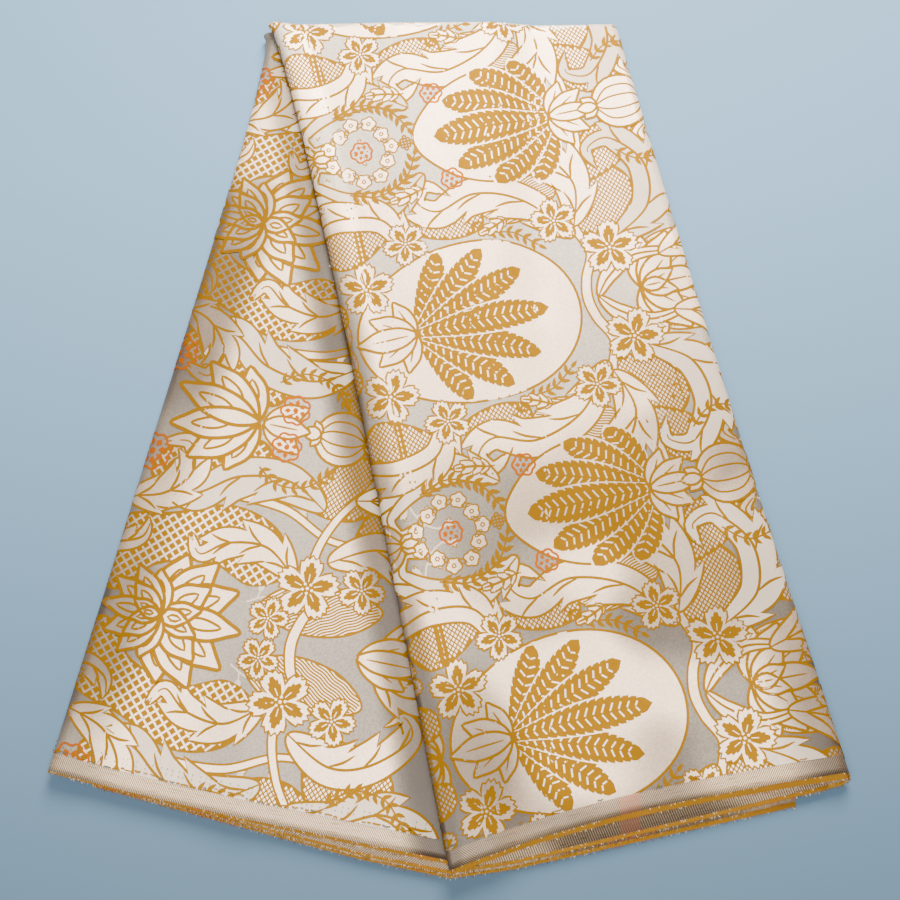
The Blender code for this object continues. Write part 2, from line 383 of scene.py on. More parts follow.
def strength_at(strengths, y):
    """The strength between the two places that y lies between."""
    for (y0, s0), (y1, s1) in zip(strengths, strengths[1:]):
        if y > y1:
            return mix(s0, s1, min(1.0, max(0.0, (y0 - y) / (y0 - y1))))
    return strengths[-1][1]


CREASE_STEPS = 400


@functools.cache
def crease_x(name, step):
    """X of a crease at one of its even steps from the top to the selvedges."""
    return crease_point(name, step / CREASE_STEPS).x


def painted_shade(panel, x, y):
    """How much painted shade a panel has at this place, from 0 to 1."""
    most = 0.0
    for shading in PAINTED_FOLD_SHADES:
        if shading.panel != panel:
            continue
        c = CREASES[shading.crease]
        t = min(1.0, max(0.0, (c.y_top - y) / (c.y_top - c.y_bottom)))
        away = x - crease_x(shading.crease, round(t * CREASE_STEPS))
        near = smooth((shading.gone - away) / (shading.gone - shading.full))
        most = max(most, near * strength_at(shading.strengths, y))
    return most


def knot_positions(run, t):
    """The X of each knot of a run at row t, evenly closed up where two creases come close."""
    positions = [crease_point(knot.crease, t).x + knot.inset for knot in run.knots]
    start, end = positions[0], positions[-1]
    heading = 1 if end > start else -1
    steps = [knot.steps for knot in run.knots]
    least = abs(end - start) / sum(steps) / 6
    for i in range(1, len(positions) - 1):
        after = positions[i - 1] + heading * least * steps[i - 1]
        before = end - heading * least * sum(steps[i:])
        reach = max(heading * positions[i], heading * after)
        positions[i] = heading * min(reach, heading * before)
    return positions


def place_on(panel, x, z, t):
    """A place on row t of a panel, lifted by the panel's soft folds."""
    y = row_y(panel, x, t)
    return Place(panel, panel, 0.0, x, y, z + ridge_height(panel, x, y))


def turn_places(run, centre_x, t, cloth):
    """The half-circle at a crease. It bulges away from the run, up or down a level."""
    turn = run.turn
    lift = 1 if turn.upwards else -1
    radius = turn.size / 2
    middle = run.knots[-1].height + lift * radius
    places = []
    for step in range(turn.steps):
        angle = math.pi * step / turn.steps
        share = math.sin(angle / 2) ** 2
        here, onward = row_y(run.panel, centre_x, t), row_y(turn.onward, centre_x, t)
        y = mix(here, onward, share)
        slope = mix(lean(run.panel, centre_x, t, cloth), lean(turn.onward, centre_x, t, cloth), share)
        ridge = mix(ridge_height(run.panel, centre_x, y), ridge_height(turn.onward, centre_x, y), share)
        out = -turn.side * radius * math.sin(angle)
        x = centre_x + out * math.cos(slope)
        z = middle - lift * radius * math.cos(angle) + ridge
        places.append(Place(run.panel, turn.onward, share, x, y + out * math.sin(slope), z))
    return places


def middle_line(t, cloth):
    """Every place along the bundle at row t, and where each run's turn comes to its middle."""
    places, turns = [], {}
    for run in runs(t, cloth):
        positions = knot_positions(run, t)
        for i, knot in enumerate(run.knots[:-1]):
            for step in range(knot.steps):
                f = step / knot.steps
                x = mix(positions[i], positions[i + 1], f)
                z = mix(knot.height, run.knots[i + 1].height, smooth(f))
                places.append(place_on(run.panel, x, z, t))
        if run.turn is None:
            places.append(place_on(run.panel, positions[-1], run.knots[-1].height, t))
        else:
            turns[run.panel] = len(places) + run.turn.steps // 2
            places += turn_places(run, positions[-1], t, cloth)
    return places, turns


def slope_at(place, t, cloth):
    """The angle to X of the cloth's length, eased from one run to the next over their turn."""
    here, onward = lean(place.panel, place.x, t, cloth), lean(place.onward, place.x, t, cloth)
    return mix(here, onward, place.share)


def side_directions(line, t, cloth):
    """At each place, the direction from the inner ply to the outer one."""
    found = []
    for i, place in enumerate(line):
        before, after = line[max(0, i - 1)], line[min(len(line) - 1, i + 1)]
        slope = slope_at(place, t, cloth)
        along = Vector((math.cos(slope), math.sin(slope), 0.0))
        step = Vector((after.x - before.x, after.y - before.y, after.z - before.z))
        side = Vector((0, 0, 1)) * step.dot(along) - along * step.z
        found.append(side.normalized())
    return found


def step_at(panel, ply, x, t):
    """How far this ply's edge passes its row, between the left crease, the tip and the right."""
    step = SELVEDGE_STEPS[panel][ply]
    tip = crease_point("tip", t).x
    if x < tip:
        return mix(step.tip, step.left, (tip - x) / (tip - crease_point("left", t).x))
    return mix(step.tip, step.right, (x - tip) / (crease_point("right", t).x - tip))


def selvedge_step(place, ply, t):
    """How far this ply passes its row here, which grows from the middle to the selvedge."""
    here, onward = (step_at(panel, ply, place.x, t) for panel in (place.panel, place.onward))
    return mix(here, onward, place.share) * smooth(2 * t - 1)


# A row across the cloth: its place from top to selvedge, its ply and its turn over the top.
Row = namedtuple("Row", "t ply turn")


def cloth_rows():
    """Every row of the sheet: up the outer ply, over the top and down the inner ply."""
    found = [Row(1 - i / OUTER_ROWS, 0, 0.0) for i in range(OUTER_ROWS)]
    found += [Row(0.0, 0, math.pi * i / TOP_TURN_STEPS) for i in range(TOP_TURN_STEPS + 1)]
    found += [Row((i + 1) / INNER_ROWS, 1, math.pi) for i in range(INNER_ROWS)]
    return found


def flat_places(row, points, turns):
    """Where a row's places lie on the flat cloth, in the frame of the panel nearest to them."""
    flats = []
    lengths = [0.0]
    for a, b in zip(points, points[1:]):
        lengths.append(lengths[-1] + (b - a).length)
    for name, section in SECTIONS.items():
        start, end = crease_point(section.crease, row.t), crease_point(section.far_crease, row.t)
        turn = Matrix.Rotation(-section.angle, 2)
        origin = turn @ (start - section.origin)
        along = (turn @ (end - start)).normalized()
        over = Vector((-along.y, along.x)) * PLY_OFFSET * row.turn
        middle = turns["third"] if name == "left" else turns["flap"]
        first, last = (0, turns["left"]) if name == "left" else (turns["left"], len(points))
        for i in range(first, last):
            flats.append(origin + along * (lengths[i] - lengths[middle]) + over)
    return flats


@functools.cache
def folded_rows(cloth):
    """The folded places and the flat places, row by row, and each turn's middle column."""
    table, flats = [], []
    for row in cloth_rows():
        line, turns = middle_line(row.t, cloth)
        points = []
        for place, side in zip(line, side_directions(line, row.t, cloth)):
            slope = slope_at(place, row.t, cloth)
            down = Vector((math.sin(slope), -math.cos(slope), 0.0))
            point = Vector((place.x, place.y, place.z)) + side * PLY_OFFSET * math.cos(row.turn)
            point.y += PLY_OFFSET * math.sin(row.turn)
            points.append(point + down * selvedge_step(place, row.ply, row.t))
        table.append(points)
        flats.append(flat_places(row, points, turns))
    return table, flats, turns


class Socket:
    """A node's output that Python's operators do sums with, each by a Math node."""

    def __init__(self, shader, output):
        self.shader = shader
        self.output = output

    def maths(self, operation, *values, clamp=False):
        inputs = dict(enumerate(values))
        return self.shader.node("ShaderNodeMath", {"operation": operation, "use_clamp": clamp}, inputs)

    def __add__(self, other):
        return self.maths("ADD", self, other)

    __radd__ = __add__

    def __sub__(self, other):
        return self.maths("SUBTRACT", self, other)

    def __rsub__(self, other):
        return self.maths("SUBTRACT", other, self)

    def __mul__(self, other):
        return self.maths("MULTIPLY", self, other)

    __rmul__ = __mul__

    def __truediv__(self, other):
        return self.maths("DIVIDE", self, other)

    def clamped(self):
        return self.maths("ADD", self, 0.0, clamp=True)

    def sine(self):
        return self.maths("SINE", self)

    def above(self, level):
        return self.maths("GREATER_THAN", self, level)

    def ribs(self, pitch):
        """Even ribs over this distance: 1 along each and 0 between."""
        return (self * (2 * math.pi / pitch)).sine() * 0.5 + 0.5

    def ramp(self, low, high):
        """0 at low and 1 at high, eased between."""
        settings = {"interpolation_type": "SMOOTHSTEP"}
        return self.shader.node("ShaderNodeMapRange", settings, {"Value": self, 1: low, 2: high})


# The colour of the painted shade where it is full, and how much of the cloth's own colour is left there.
PAINTED_SHADE_COLOUR = (0.022, 0.013, 0.008)
COLOUR_LEFT_IN_SHADE = 0.06

# How much of its colour a coloured thread keeps in the painted shade.
THREAD_KEEPS_IN_SHADE = 0.55

# How dark the painted shade of the billows in the lower right makes the cloth.
BILLOW_SHADE_SHARE = 0.42

# How often threads, broad clouds of tone, and the patches and billows of painted shade come, in a metre.
GRAIN_SCALE = 720.0
GROUND_CLOUDS = 9.0
FIGURE_CLOUDS = 11.0
PATCH_SCALE = 14.0
BILLOW_SCALE = 8.5

# From one thread or rib to the next.
TWILL_PITCH = 0.00165
GROUND_PITCH = 0.0011
FLOAT_PITCH = 0.0012
SATIN_PITCH = 0.0009

# The twill ribs' lean, the broken dark weft in the band, and where and how strongly the pink
# weft shows there.
TWILL_LEAN = 0.8
DASH_SCALE = (70, 1500, 1)
PINK_STRETCH = (0.117, 0.131)
PINK_SHARE = 0.55


class Shader:
    """A material's nodes, made one call each."""

    def __init__(self, name, base_colour, roughness, **fixed):
        self.material = bpy.data.materials.new(name)
        self.material.use_nodes = True
        self.tree = self.material.node_tree
        self.principled = self.tree.nodes["Principled BSDF"]
        self.principled.inputs["Base Color"].default_value = (*base_colour, 1.0)
        self.principled.inputs["Roughness"].default_value = roughness
        for socket, value in fixed.items():
            self.principled.inputs[socket.replace("_", " ")].default_value = value

    def node(self, kind, settings=None, inputs=None, output=0):
        made = self.tree.nodes.new(kind)
        for name, value in (settings or {}).items():
            setattr(made, name, value)
        for key, value in (inputs or {}).items():
            self.link(made.inputs[key], value)
        return Socket(self, made.outputs[output])

    def link(self, socket, value):
        if isinstance(value, Socket):
            self.tree.links.new(value.output, socket)
        else:
            socket.default_value = value

    def feed(self, name, value):
        self.link(self.principled.inputs[name], value)

    def attribute(self, name, output="Fac"):
        return self.node("ShaderNodeAttribute", {"attribute_name": name}, output=output)

    def weave_place(self):
        """The place on the flat cloth, in metres along the selvedge and away from it."""
        place = self.node("ShaderNodeUVMap", {"uv_map": "Weave"})
        parts = self.tree.nodes.new("ShaderNodeSeparateXYZ")
        self.tree.links.new(place.output, parts.inputs[0])
        return place, Socket(self, parts.outputs[0]), Socket(self, parts.outputs[1])

    def noise(self, place, scale, detail=2.0, roughness=0.5):
        inputs = {"Vector": place, "Scale": scale, "Detail": detail, "Roughness": roughness}
        return self.node("ShaderNodeTexNoise", {"noise_dimensions": "3D"}, inputs)

    def grain(self, cloud_scale):
        """The uneven tone of woven threads, on top of broad clouds."""
        clouds = self.noise(self.object_place(), cloud_scale, 3.0)
        threads = self.noise(self.object_place(), GRAIN_SCALE, 1.0, 0.6).ramp(0.34, 0.66)
        return (clouds * 0.35 + threads * 0.65).clamped()

    def object_place(self):
        return self.node("ShaderNodeTexCoord", output="Object")

    def mixed(self, share, first, second):
        inputs = {"Factor": share, "A": first, "B": second}
        made = self.tree.nodes.new("ShaderNodeMix")
        made.data_type = "RGBA"
        for socket in made.inputs:
            if socket.enabled and socket.name in inputs:
                self.link(socket, inputs[socket.name])
        result = next(socket for socket in made.outputs if socket.enabled)
        return Socket(self, result)

    def across_cloth(self):
        """The place from left to right, in metres."""
        return self.node("ShaderNodeSeparateXYZ", None, {0: self.object_place()}, 0)

    def up_cloth(self):
        """The place from the viewer's side away from it, in metres."""
        return self.node("ShaderNodeSeparateXYZ", None, {0: self.object_place()}, 1)

    def shaded(self, colour, shade_colour=PAINTED_SHADE_COLOUR):
        """The colour with painted shade where the cloth turns over its soft folds, beside the pleat and in
        broad billows in the lower right.
        """
        shade_patches = self.noise(self.object_place(), PATCH_SCALE, 3.0).ramp(0.25, 0.60) * 0.30 + 0.70
        shade_billows = self.noise(self.object_place(), BILLOW_SCALE, 1.0).ramp(0.48, 0.64)
        rightward = self.across_cloth().ramp(-0.10, 0.08) * 0.7 + 0.3
        right_low = self.up_cloth().ramp(0.16, -0.16) * rightward
        # Painted shade: the fold shade laid on the cloth, broken into patches, and broad billows of it in
        # the lower right, which stand in for the satin reflecting darker surroundings.
        shading = self.attribute("painted_shade") * shade_patches + shade_billows * right_low * BILLOW_SHADE_SHARE
        return self.mixed(1.0 - shading.maths("POWER", COLOUR_LEFT_IN_SHADE, shading), colour, rgba(shade_colour))

    def bumped(self, height, distance, strength=1.0):
        inputs = {"Height": height, "Distance": distance, "Strength": strength}
        self.feed("Normal", self.node("ShaderNodeBump", None, inputs))


def rgba(colour, factor=1.0):
    """The colour with its alpha, made lighter or darker by a factor."""
    return (*(channel * factor for channel in colour), 1.0)


def right_side_material(cloth):
    """The satin ground of the right side, with the twill band along the selvedge."""
    shader = Shader("satin ground", cloth.ground_colour, 0.45, Metallic=0.15)
    place, along, up = shader.weave_place()
    across = shader.across_cloth()
    tone = shader.grain(GROUND_CLOUDS)
    # Painted shade: the ground is darker towards the viewer, more so at the right, where less light falls.
    lower = shader.up_cloth().ramp(0.12, -0.22) * (across.ramp(-0.24, 0.06) * 0.5 + 0.5)
    dark = shader.mixed(lower, rgba(cloth.ground_colour, 0.80), rgba(cloth.shaded_ground_colour, 0.76))
    light = shader.mixed(lower, rgba(cloth.ground_colour, 1.20), rgba(cloth.shaded_ground_colour, 1.24))
    ground = shader.mixed(tone, dark, light)
    edge = shader.attribute("selvedge_distance")
    leaning = across.above(CREASES["inner"].x_bottom) * 2.0 - 1.0
    leaned = along - up * leaning * TWILL_LEAN
    twill = (leaned * (2 * math.pi / TWILL_PITCH)).sine().ramp(-0.35, 0.75)
    stretched = shader.node("ShaderNodeVectorMath", {"operation": "MULTIPLY"}, {0: place, 1: DASH_SCALE})
    dashes = shader.noise(stretched, 1.0, 1.0).ramp(0.60, 0.66)
    rib, groove = rgba(cloth.selvedge_colour), rgba(cloth.twill_line_colour)
    band_colour = shader.mixed(dashes * 0.75, shader.mixed(twill, groove, rib), groove)
    pink = across.above(PINK_STRETCH[0]) * (1.0 - across.above(PINK_STRETCH[1]))
    band_colour = shader.mixed(pink * PINK_SHARE, band_colour, rgba(cloth.pink_colour))
    band = 1.0 - edge.ramp(cloth.selvedge_width - 0.0006, cloth.selvedge_width + 0.0002)
    # Painted shade of the folds and billows over both the ground and the band.
    shader.feed("Base Color", shader.mixed(band, shader.shaded(ground), shader.shaded(band_colour)))
    shader.bumped(up.ribs(GROUND_PITCH) * 0.35 + twill * band, 0.00012, 0.35)
    return shader.material


def wrong_side_material(cloth):
    """The wrong side, where the gold weft floats cover the cloth."""
    shader = Shader("gold floats of the wrong side", cloth.wrong_side_colour, 0.5, Specular_IOR_Level=0.25)
    place, along, _ = shader.weave_place()
    floats = along.ribs(FLOAT_PITCH)
    clouds = shader.noise(place, 60.0, 3.0)
    tone = (floats * 0.4 + clouds * 0.7).clamped()
    low, high = rgba(cloth.wrong_side_colour, 0.75), rgba(cloth.wrong_side_colour, 1.2)
    shader.feed("Base Color", shader.mixed(tone, low, high))
    shader.bumped(floats, 0.0001, 0.4)
    return shader.material


def flat_grid(columns, lines):
    """The cut length as a flat grid, one unit a cell, before it is folded."""
    sheet = bmesh.new()
    bmesh.ops.create_grid(sheet, x_segments=columns - 1, y_segments=lines - 1, size=0.5)
    bmesh.ops.scale(sheet, vec=(columns - 1, lines - 1, 1), verts=sheet.verts)
    bmesh.ops.translate(sheet, vec=((columns - 1) / 2, (lines - 1) / 2, 0), verts=sheet.verts)
    return sheet


def selvedge_distances(rows, flats):
    """How far each place is from the selvedge of its ply, measured on the flat cloth."""
    lengths = [(a - b).length for a, b in zip(flats[0], flats[OUTER_ROWS])]
    return [[(1 - row.t) * length for length in lengths] for row in rows]


def folded_cloth(cloth):
    """The whole cloth: a flat grid folded row by row, with its flat places kept."""
    rows = cloth_rows()
    table, flats, turns = folded_rows(cloth)
    sheet = flat_grid(len(table[0]), len(table))
    weave = sheet.loops.layers.uv.new("Weave")
    distance = sheet.verts.layers.float.new("selvedge_distance")
    shading = sheet.verts.layers.float.new("painted_shade")
    shown = {"left": (turns["third"], turns["left"]), "right": (turns["flap"], turns["right"])}
    distances = selvedge_distances(rows, flats)
    settle = Vector((0, 0, (cloth.cloth_thickness - PACKED_THICKNESS) / 2))
    for face in sheet.faces:
        for loop in face.loops:
            cell = loop.vert.co
            loop[weave].uv = flats[round(cell.y)][round(cell.x)]
    for vertex in sheet.verts:
        line, column = round(vertex.co.y), round(vertex.co.x)
        vertex[distance] = distances[line][column]
        # Painted shade of the folds, on the panels that show.
        for panel, (first, last) in shown.items():
            if first <= column < last:
                vertex[shading] = painted_shade(panel, table[line][column].x, table[line][column].y)
        vertex.co = table[line][column] + BASE_SHIFT + settle
    mesh = bpy.data.meshes.new("folded brocade")
    sheet.to_mesh(mesh)
    sheet.free()
    mesh.shade_smooth()
    return mesh


class BROCADE_OT_cloth(Operator):
    """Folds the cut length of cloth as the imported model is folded, but as thin as cloth."""

    bl_idname = "brocade.cloth"
    bl_label = "Folded cloth"

    def execute(self, context):
        cloth = context.scene.brocade_cloth
        piece = bpy.data.objects.new("folded_brocade", folded_cloth(cloth))
        context.scene.collection.objects.link(piece)
        piece.data.materials.append(right_side_material(cloth))
        piece.data.materials.append(wrong_side_material(cloth))
        wall = piece.modifiers.new("cloth thickness", "SOLIDIFY")
        wall.thickness = cloth.cloth_thickness
        wall.offset = 0.0
        wall.material_offset = 1
        wall.material_offset_rim = 1
        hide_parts(CAD_NODE)
        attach(piece, BODY)
        return {"FINISHED"}


# The woven figure is drawn for half a repeat: v runs from a mirror line to the next one.
HALF_REPEAT = 150.0
FIRST_HEIGHT = 0.05
LAYER_HEIGHT = 0.03
RISES = (0.0, 0.014, 0.024)
MARK_HEIGHT = 0.0009
LEAST_HEIGHT = 0.0002
MARK_HEIGHTS = 7
CELL_ALONG = 3.4
CELL_ACROSS = 4.6
ROLL_CELL = 1.7

KINDS = ("white", "gold", "copper", "grey", "pale")

# How far the figure reaches along the cloth, and how high the higher panel is.
FIGURE_REACH = (-24.0, 322.0)
FIGURE_HEIGHT = 645.0

# Where the first mirror line of each panel lies, which stretches are rolled, from where to
# where the band's broken line runs, and how far apart its threads lie at the most.
FigurePanel = namedtuple("FigurePanel", "name first_mirror rolls marks gap")
FIGURE_PANELS = (
    FigurePanel("right", 70.0, ((-14.0, 30.0), (248.0, 304.0)), (6.0, 270.0), 26.0),
    FigurePanel("left", 120.0, ((-24.0, 34.0),), (0.0, 290.0), 2.2),
)


def lift(layer, mark, number):
    """How far above the cloth a mark of this layer lies. No two that cross are level."""
    apart = MARK_HEIGHT * (number % MARK_HEIGHTS)
    return (FIRST_HEIGHT + LAYER_HEIGHT * layer.level + RISES[mark.rise] + apart) * MM


def filled_marks(drawing):
    """The closed shapes of a drawing, each cut into triangles."""
    figure = bmesh.new()
    for layer in drawing.layers:
        for number, mark in enumerate(layer.fills):
            height = lift(layer, mark, number)
            corners = [figure.verts.new((u * MM, v * MM, height)) for u, v in mark.points]
            figure.faces.new(corners).material_index = KINDS.index(mark.kind)
    figure.normal_update()
    bmesh.ops.triangulate(figure, faces=figure.faces[:], ngon_method="EAR_CLIP")
    return figure


def flat_curve(name, points):
    """A straight-sided curve through the points, as an object."""
    curve = bpy.data.curves.new(name, "CURVE")
    spline = curve.splines.new("POLY")
    spline.points.add(len(points) - 1)
    for point, place in zip(spline.points, points):
        point.co = (*place, 0.0, 1.0)
    return bpy.data.objects.new(name, curve)


def thread_curve(drawing, kind, profile):
    """Every line of one colour, as a curve that takes its width from the profile."""
    curve = bpy.data.curves.new("threads", "CURVE")
    curve.dimensions = "3D"
    curve.twist_mode = "Z_UP"
    curve.bevel_mode = "OBJECT"
    curve.bevel_object = profile
    for layer in drawing.layers:
        for number, mark in enumerate(layer.lines):
            if mark.kind != kind:
                continue
            spline = curve.splines.new("POLY")
            spline.points.add(len(mark.points) - 1)
            spline.use_cyclic_u = mark.closed
            height = lift(layer, mark, number)
            weight = bpy.context.scene.brocade_figure.line_weight * MM
            for point, (u, v), width in zip(spline.points, mark.points, mark.widths):
                point.co = (u * MM, v * MM, height, 1.0)
                point.radius = width * weight
    return bpy.data.objects.new("threads", curve)


def drawn_lines(drawing):
    """The lines of a drawing as flat ribbons, as wide as each line is at each point."""
    figure = bmesh.new()
    profile = flat_curve("thread width", ((-0.5, 0.0), (0.5, 0.0)))
    bpy.context.scene.collection.objects.link(profile)
    for kind in KINDS:
        ribbons = thread_curve(drawing, kind, profile)
        bpy.context.scene.collection.objects.link(ribbons)
        depsgraph = bpy.context.evaluated_depsgraph_get()
        drawn = bpy.data.meshes.new_from_object(ribbons.evaluated_get(depsgraph))
        first = len(figure.faces)
        figure.from_mesh(drawn)
        figure.faces.ensure_lookup_table()
        for face in figure.faces[first:]:
            face.material_index = KINDS.index(kind)
        bpy.data.meshes.remove(drawn)
        bpy.data.curves.remove(ribbons.data)
    bpy.data.curves.remove(profile.data)
    return figure


def cut(figure, place, direction, drop_beyond=False):
    """Cuts every face along a straight line, and may drop what lies beyond it."""
    everything = figure.verts[:] + figure.edges[:] + figure.faces[:]
    bmesh.ops.bisect_plane(
        figure, geom=everything, dist=1e-8, plane_co=place, plane_no=direction, clear_outer=drop_beyond
    )


def spaced(start, end, step):
    """The middles of even steps between two places."""
    count = int((end - start) / step)
    return [start + step * (i + 0.5) for i in range(count)]


def half_repeat(figure, panel, fine):
    """Trims a figure to half a repeat, and cuts it small enough to follow the cloth."""
    cut(figure, (0, 0, 0), (0, -1, 0), True)
    cut(figure, (0, HALF_REPEAT * MM, 0), (0, 1, 0), True)
    for start, end in panel.rolls:
        for u in spaced(start, end, ROLL_CELL):
            cut(figure, (u * MM, 0, 0), (1, 0, 0))
    if fine:
        for u in spaced(*FIGURE_REACH, CELL_ALONG):
            if not any(start < u < end for start, end in panel.rolls):
                cut(figure, (u * MM, 0, 0), (1, 0, 0))
        for v in spaced(0.0, HALF_REPEAT, CELL_ACROSS):
            cut(figure, (0, v * MM, 0), (0, 1, 0))


def repeated(figure, panel):
    """Mirrors half a repeat and repeats it up the panel."""
    half = bpy.data.meshes.new("half repeat")
    figure.to_mesh(half)
    figure.free()
    whole = bmesh.new()
    for k in range(-1, 3):
        for flip in (1, -1):
            low = panel.first_mirror + HALF_REPEAT * (2 * k - (flip < 0))
            if not -HALF_REPEAT < low < FIGURE_HEIGHT:
                continue
            copied = half.copy()
            moved = Matrix.Translation((0, (panel.first_mirror + 2 * HALF_REPEAT * k) * MM, 0))
            copied.transform(moved @ Matrix.Diagonal((1, flip, 1, 1)))
            whole.from_mesh(copied)
            bpy.data.meshes.remove(copied)
    bpy.data.meshes.remove(half)
    return whole


# The columns of the cloth that each panel's figure can reach, counted from the turns' middles.
FIGURE_COLUMNS = {"right": (("flap", -5), ("right", 8)), "left": (("third", -9), ("left", -7))}

# How far the figure may run past the cloth's flat edge, and over the crease at the top.
EDGE_REACH = 0.0004
TOP_REACH = 0.0012


class FlatMap:
    """Carries places on the flat cloth to the folded cloth, with a height over its right side."""

    def __init__(self, panel, cloth):
        table, flats, turns = folded_rows(cloth)
        first, last = (turns[name] + onward for name, onward in FIGURE_COLUMNS[panel.name])
        lines = OUTER_ROWS + TOP_TURN_STEPS // 2 + 1
        self.sheet = bpy.data.objects["folded_brocade"].data
        width = len(table[0])
        self.normals = self.sheet.vertex_normals
        columns = range(first, last)
        self.flats = [flats[line][column].to_3d() for line in range(lines) for column in columns]
        self.numbers = [line * width + column for line in range(lines) for column in columns]
        across = len(columns)
        self.corners = []
        for line in range(lines - 1):
            for i in range(across - 1):
                a = line * across + i
                self.corners += [(a, a + 1, a + across + 1), (a, a + across + 1, a + across)]
        self.tree = BVHTree.FromPolygons(self.flats, self.corners)
        self.half_thickness = cloth.cloth_thickness / 2
        top_left, top_right = flats[OUTER_ROWS][first], flats[OUTER_ROWS][last - 1]
        along = (top_right - top_left).normalized()
        self.top = (top_left.to_3d(), Vector((-along.y, along.x, 0.0)))

    def carry(self, place):
        """The folded place, or None beyond the panel."""
        flat = Vector((place.x, place.y, 0.0))
        found, _, number, distance = self.tree.find_nearest(flat)
        if distance > EDGE_REACH:
            return None
        flat_corners = [self.flats[i] for i in self.corners[number]]
        numbers = [self.numbers[i] for i in self.corners[number]]
        folded = [self.sheet.vertices[i].co for i in numbers]
        normals = [self.normals[i].vector for i in numbers]
        up = barycentric_transform(found, *flat_corners, *normals).normalized()
        height = self.half_thickness + place.z
        return barycentric_transform(found, *flat_corners, *folded) + up * height


def laid_on_cloth(figure, panel, flat_map, cloth):
    """Trims a flat figure to its panel and lays it on the folded cloth."""
    cut(figure, (0, cloth.selvedge_width, 0), (0, -1, 0), True)
    top, up = flat_map.top
    cut(figure, top + up * TOP_REACH, up, True)
    weave = figure.loops.layers.uv.new("Weave")
    for face in figure.faces:
        for loop in face.loops:
            loop[weave].uv = loop.vert.co.xy
    beyond = []
    # Painted shade of the folds, the same as on the cloth beneath the figure.
    shading = figure.verts.layers.float.new("painted_shade")
    for vertex in figure.verts:
        folded = flat_map.carry(vertex.co)
        if folded is None:
            beyond.append(vertex)
        else:
            vertex.co = (folded.x, folded.y, max(folded.z, LEAST_HEIGHT))
            vertex[shading] = painted_shade(panel.name, folded.x - BASE_SHIFT.x, folded.y - BASE_SHIFT.y)
    bmesh.ops.delete(figure, geom=beyond, context="VERTS")


def facing_up(figure):
    """Turns over the faces that look down."""
    turned = [face for face in figure.faces if face.normal.z < 0]
    bmesh.ops.reverse_faces(figure, faces=turned)


def flat_figures(panel):
    """The shapes, the lines and the band's broken line of one panel, flat, one after another."""
    drawing = PANEL_DRAWINGS[panel.name]()
    drawing.stack()
    for make, fine in ((filled_marks, True), (drawn_lines, False)):
        figure = make(drawing)
        half_repeat(figure, panel, fine)
        yield repeated(figure, panel)
    yield drawn_lines(band_marks(panel))


def figure_mesh(cloth):
    """The whole figure on both panels, its colours told apart by material index."""
    whole = bmesh.new()
    whole.loops.layers.uv.new("Weave")
    whole.verts.layers.float.new("painted_shade")
    for number, panel in enumerate(FIGURE_PANELS):
        flat_map = FlatMap(panel, cloth)
        for figure in flat_figures(panel):
            figure.normal_update()
            facing_up(figure)
            laid_on_cloth(figure, panel, flat_map, cloth)
            for face in figure.faces:
                face.material_index += len(KINDS) * number
            part = bpy.data.meshes.new("part")
            figure.to_mesh(part)
            figure.free()
            whole.from_mesh(part)
            bpy.data.meshes.remove(part)
    mesh = bpy.data.meshes.new("figure")
    whole.to_mesh(mesh)
    whole.free()
    return mesh


def smooth_piece(name, mesh, material):
    """A smooth piece that goes where the cloth goes."""
    mesh.materials.clear()
    mesh.materials.append(material)
    mesh.shade_smooth()
    piece = bpy.data.objects.new(name, mesh)
    bpy.context.scene.collection.objects.link(piece)
    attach(piece, BODY)


def figure_piece(name, kind, mesh, material, panel=None):
    """One colour of the figure over both panels or one of them, as one piece."""
    index = KINDS.index(kind)
    panels = [i for i, p in enumerate(FIGURE_PANELS) if panel in (None, p.name)]
    wanted = [index + len(KINDS) * i for i in panels]
    colour = bmesh.new()
    colour.from_mesh(mesh)
    others = [face for face in colour.faces if face.material_index not in wanted]
    bmesh.ops.delete(colour, geom=others, context="FACES")
    for face in colour.faces:
        face.material_index = 0
    kept = bpy.data.meshes.new(name)
    colour.to_mesh(kept)
    colour.free()
    smooth_piece(name, kept, material)


Mark = namedtuple("Mark", "kind rise points widths closed", defaults=(None, False))
Pose = namedtuple("Pose", "u v angle size flip", defaults=(0.0, 1.0, 1))


def placed(points, pose):
    """Points of a motif, turned, sized and moved to where it stands."""
    c, s = math.cos(math.radians(pose.angle)), math.sin(math.radians(pose.angle))
    found = []
    for x, y in points:
        x, y = x * pose.size, y * pose.size * pose.flip
        found.append((pose.u + x * c - y * s, pose.v + x * s + y * c))
    return found


def flowing(points, closed=False, spacing=2.5):
    """A smooth line through the points."""
    n = len(points)
    found = []
    for i in range(n if closed else n - 1):
        p = [points[(i + k) % n] if closed else points[min(n - 1, max(0, i + k))] for k in (-1, 0, 1, 2)]
        steps = max(1, round(math.dist(p[1], p[2]) / spacing))
        for step in range(steps):
            f = step / steps
            weights = (
                -0.5 * f + f * f - 0.5 * f ** 3,
                1 - 2.5 * f * f + 1.5 * f ** 3,
                0.5 * f + 2 * f * f - 1.5 * f ** 3,
                -0.5 * f * f + 0.5 * f ** 3,
            )
            found.append(tuple(sum(w * q[k] for w, q in zip(weights, p)) for k in (0, 1)))
    if not closed:
        found.append(tuple(points[-1]))
    return found


def inside(point, outline):
    """Whether a point is within a closed outline."""
    x, y = point
    found = False
    for (x0, y0), (x1, y1) in zip(outline, outline[1:] + outline[:1]):
        if (y0 > y) != (y1 > y) and x < (x1 - x0) * (y - y0) / (y1 - y0) + x0:
            found = not found
    return found


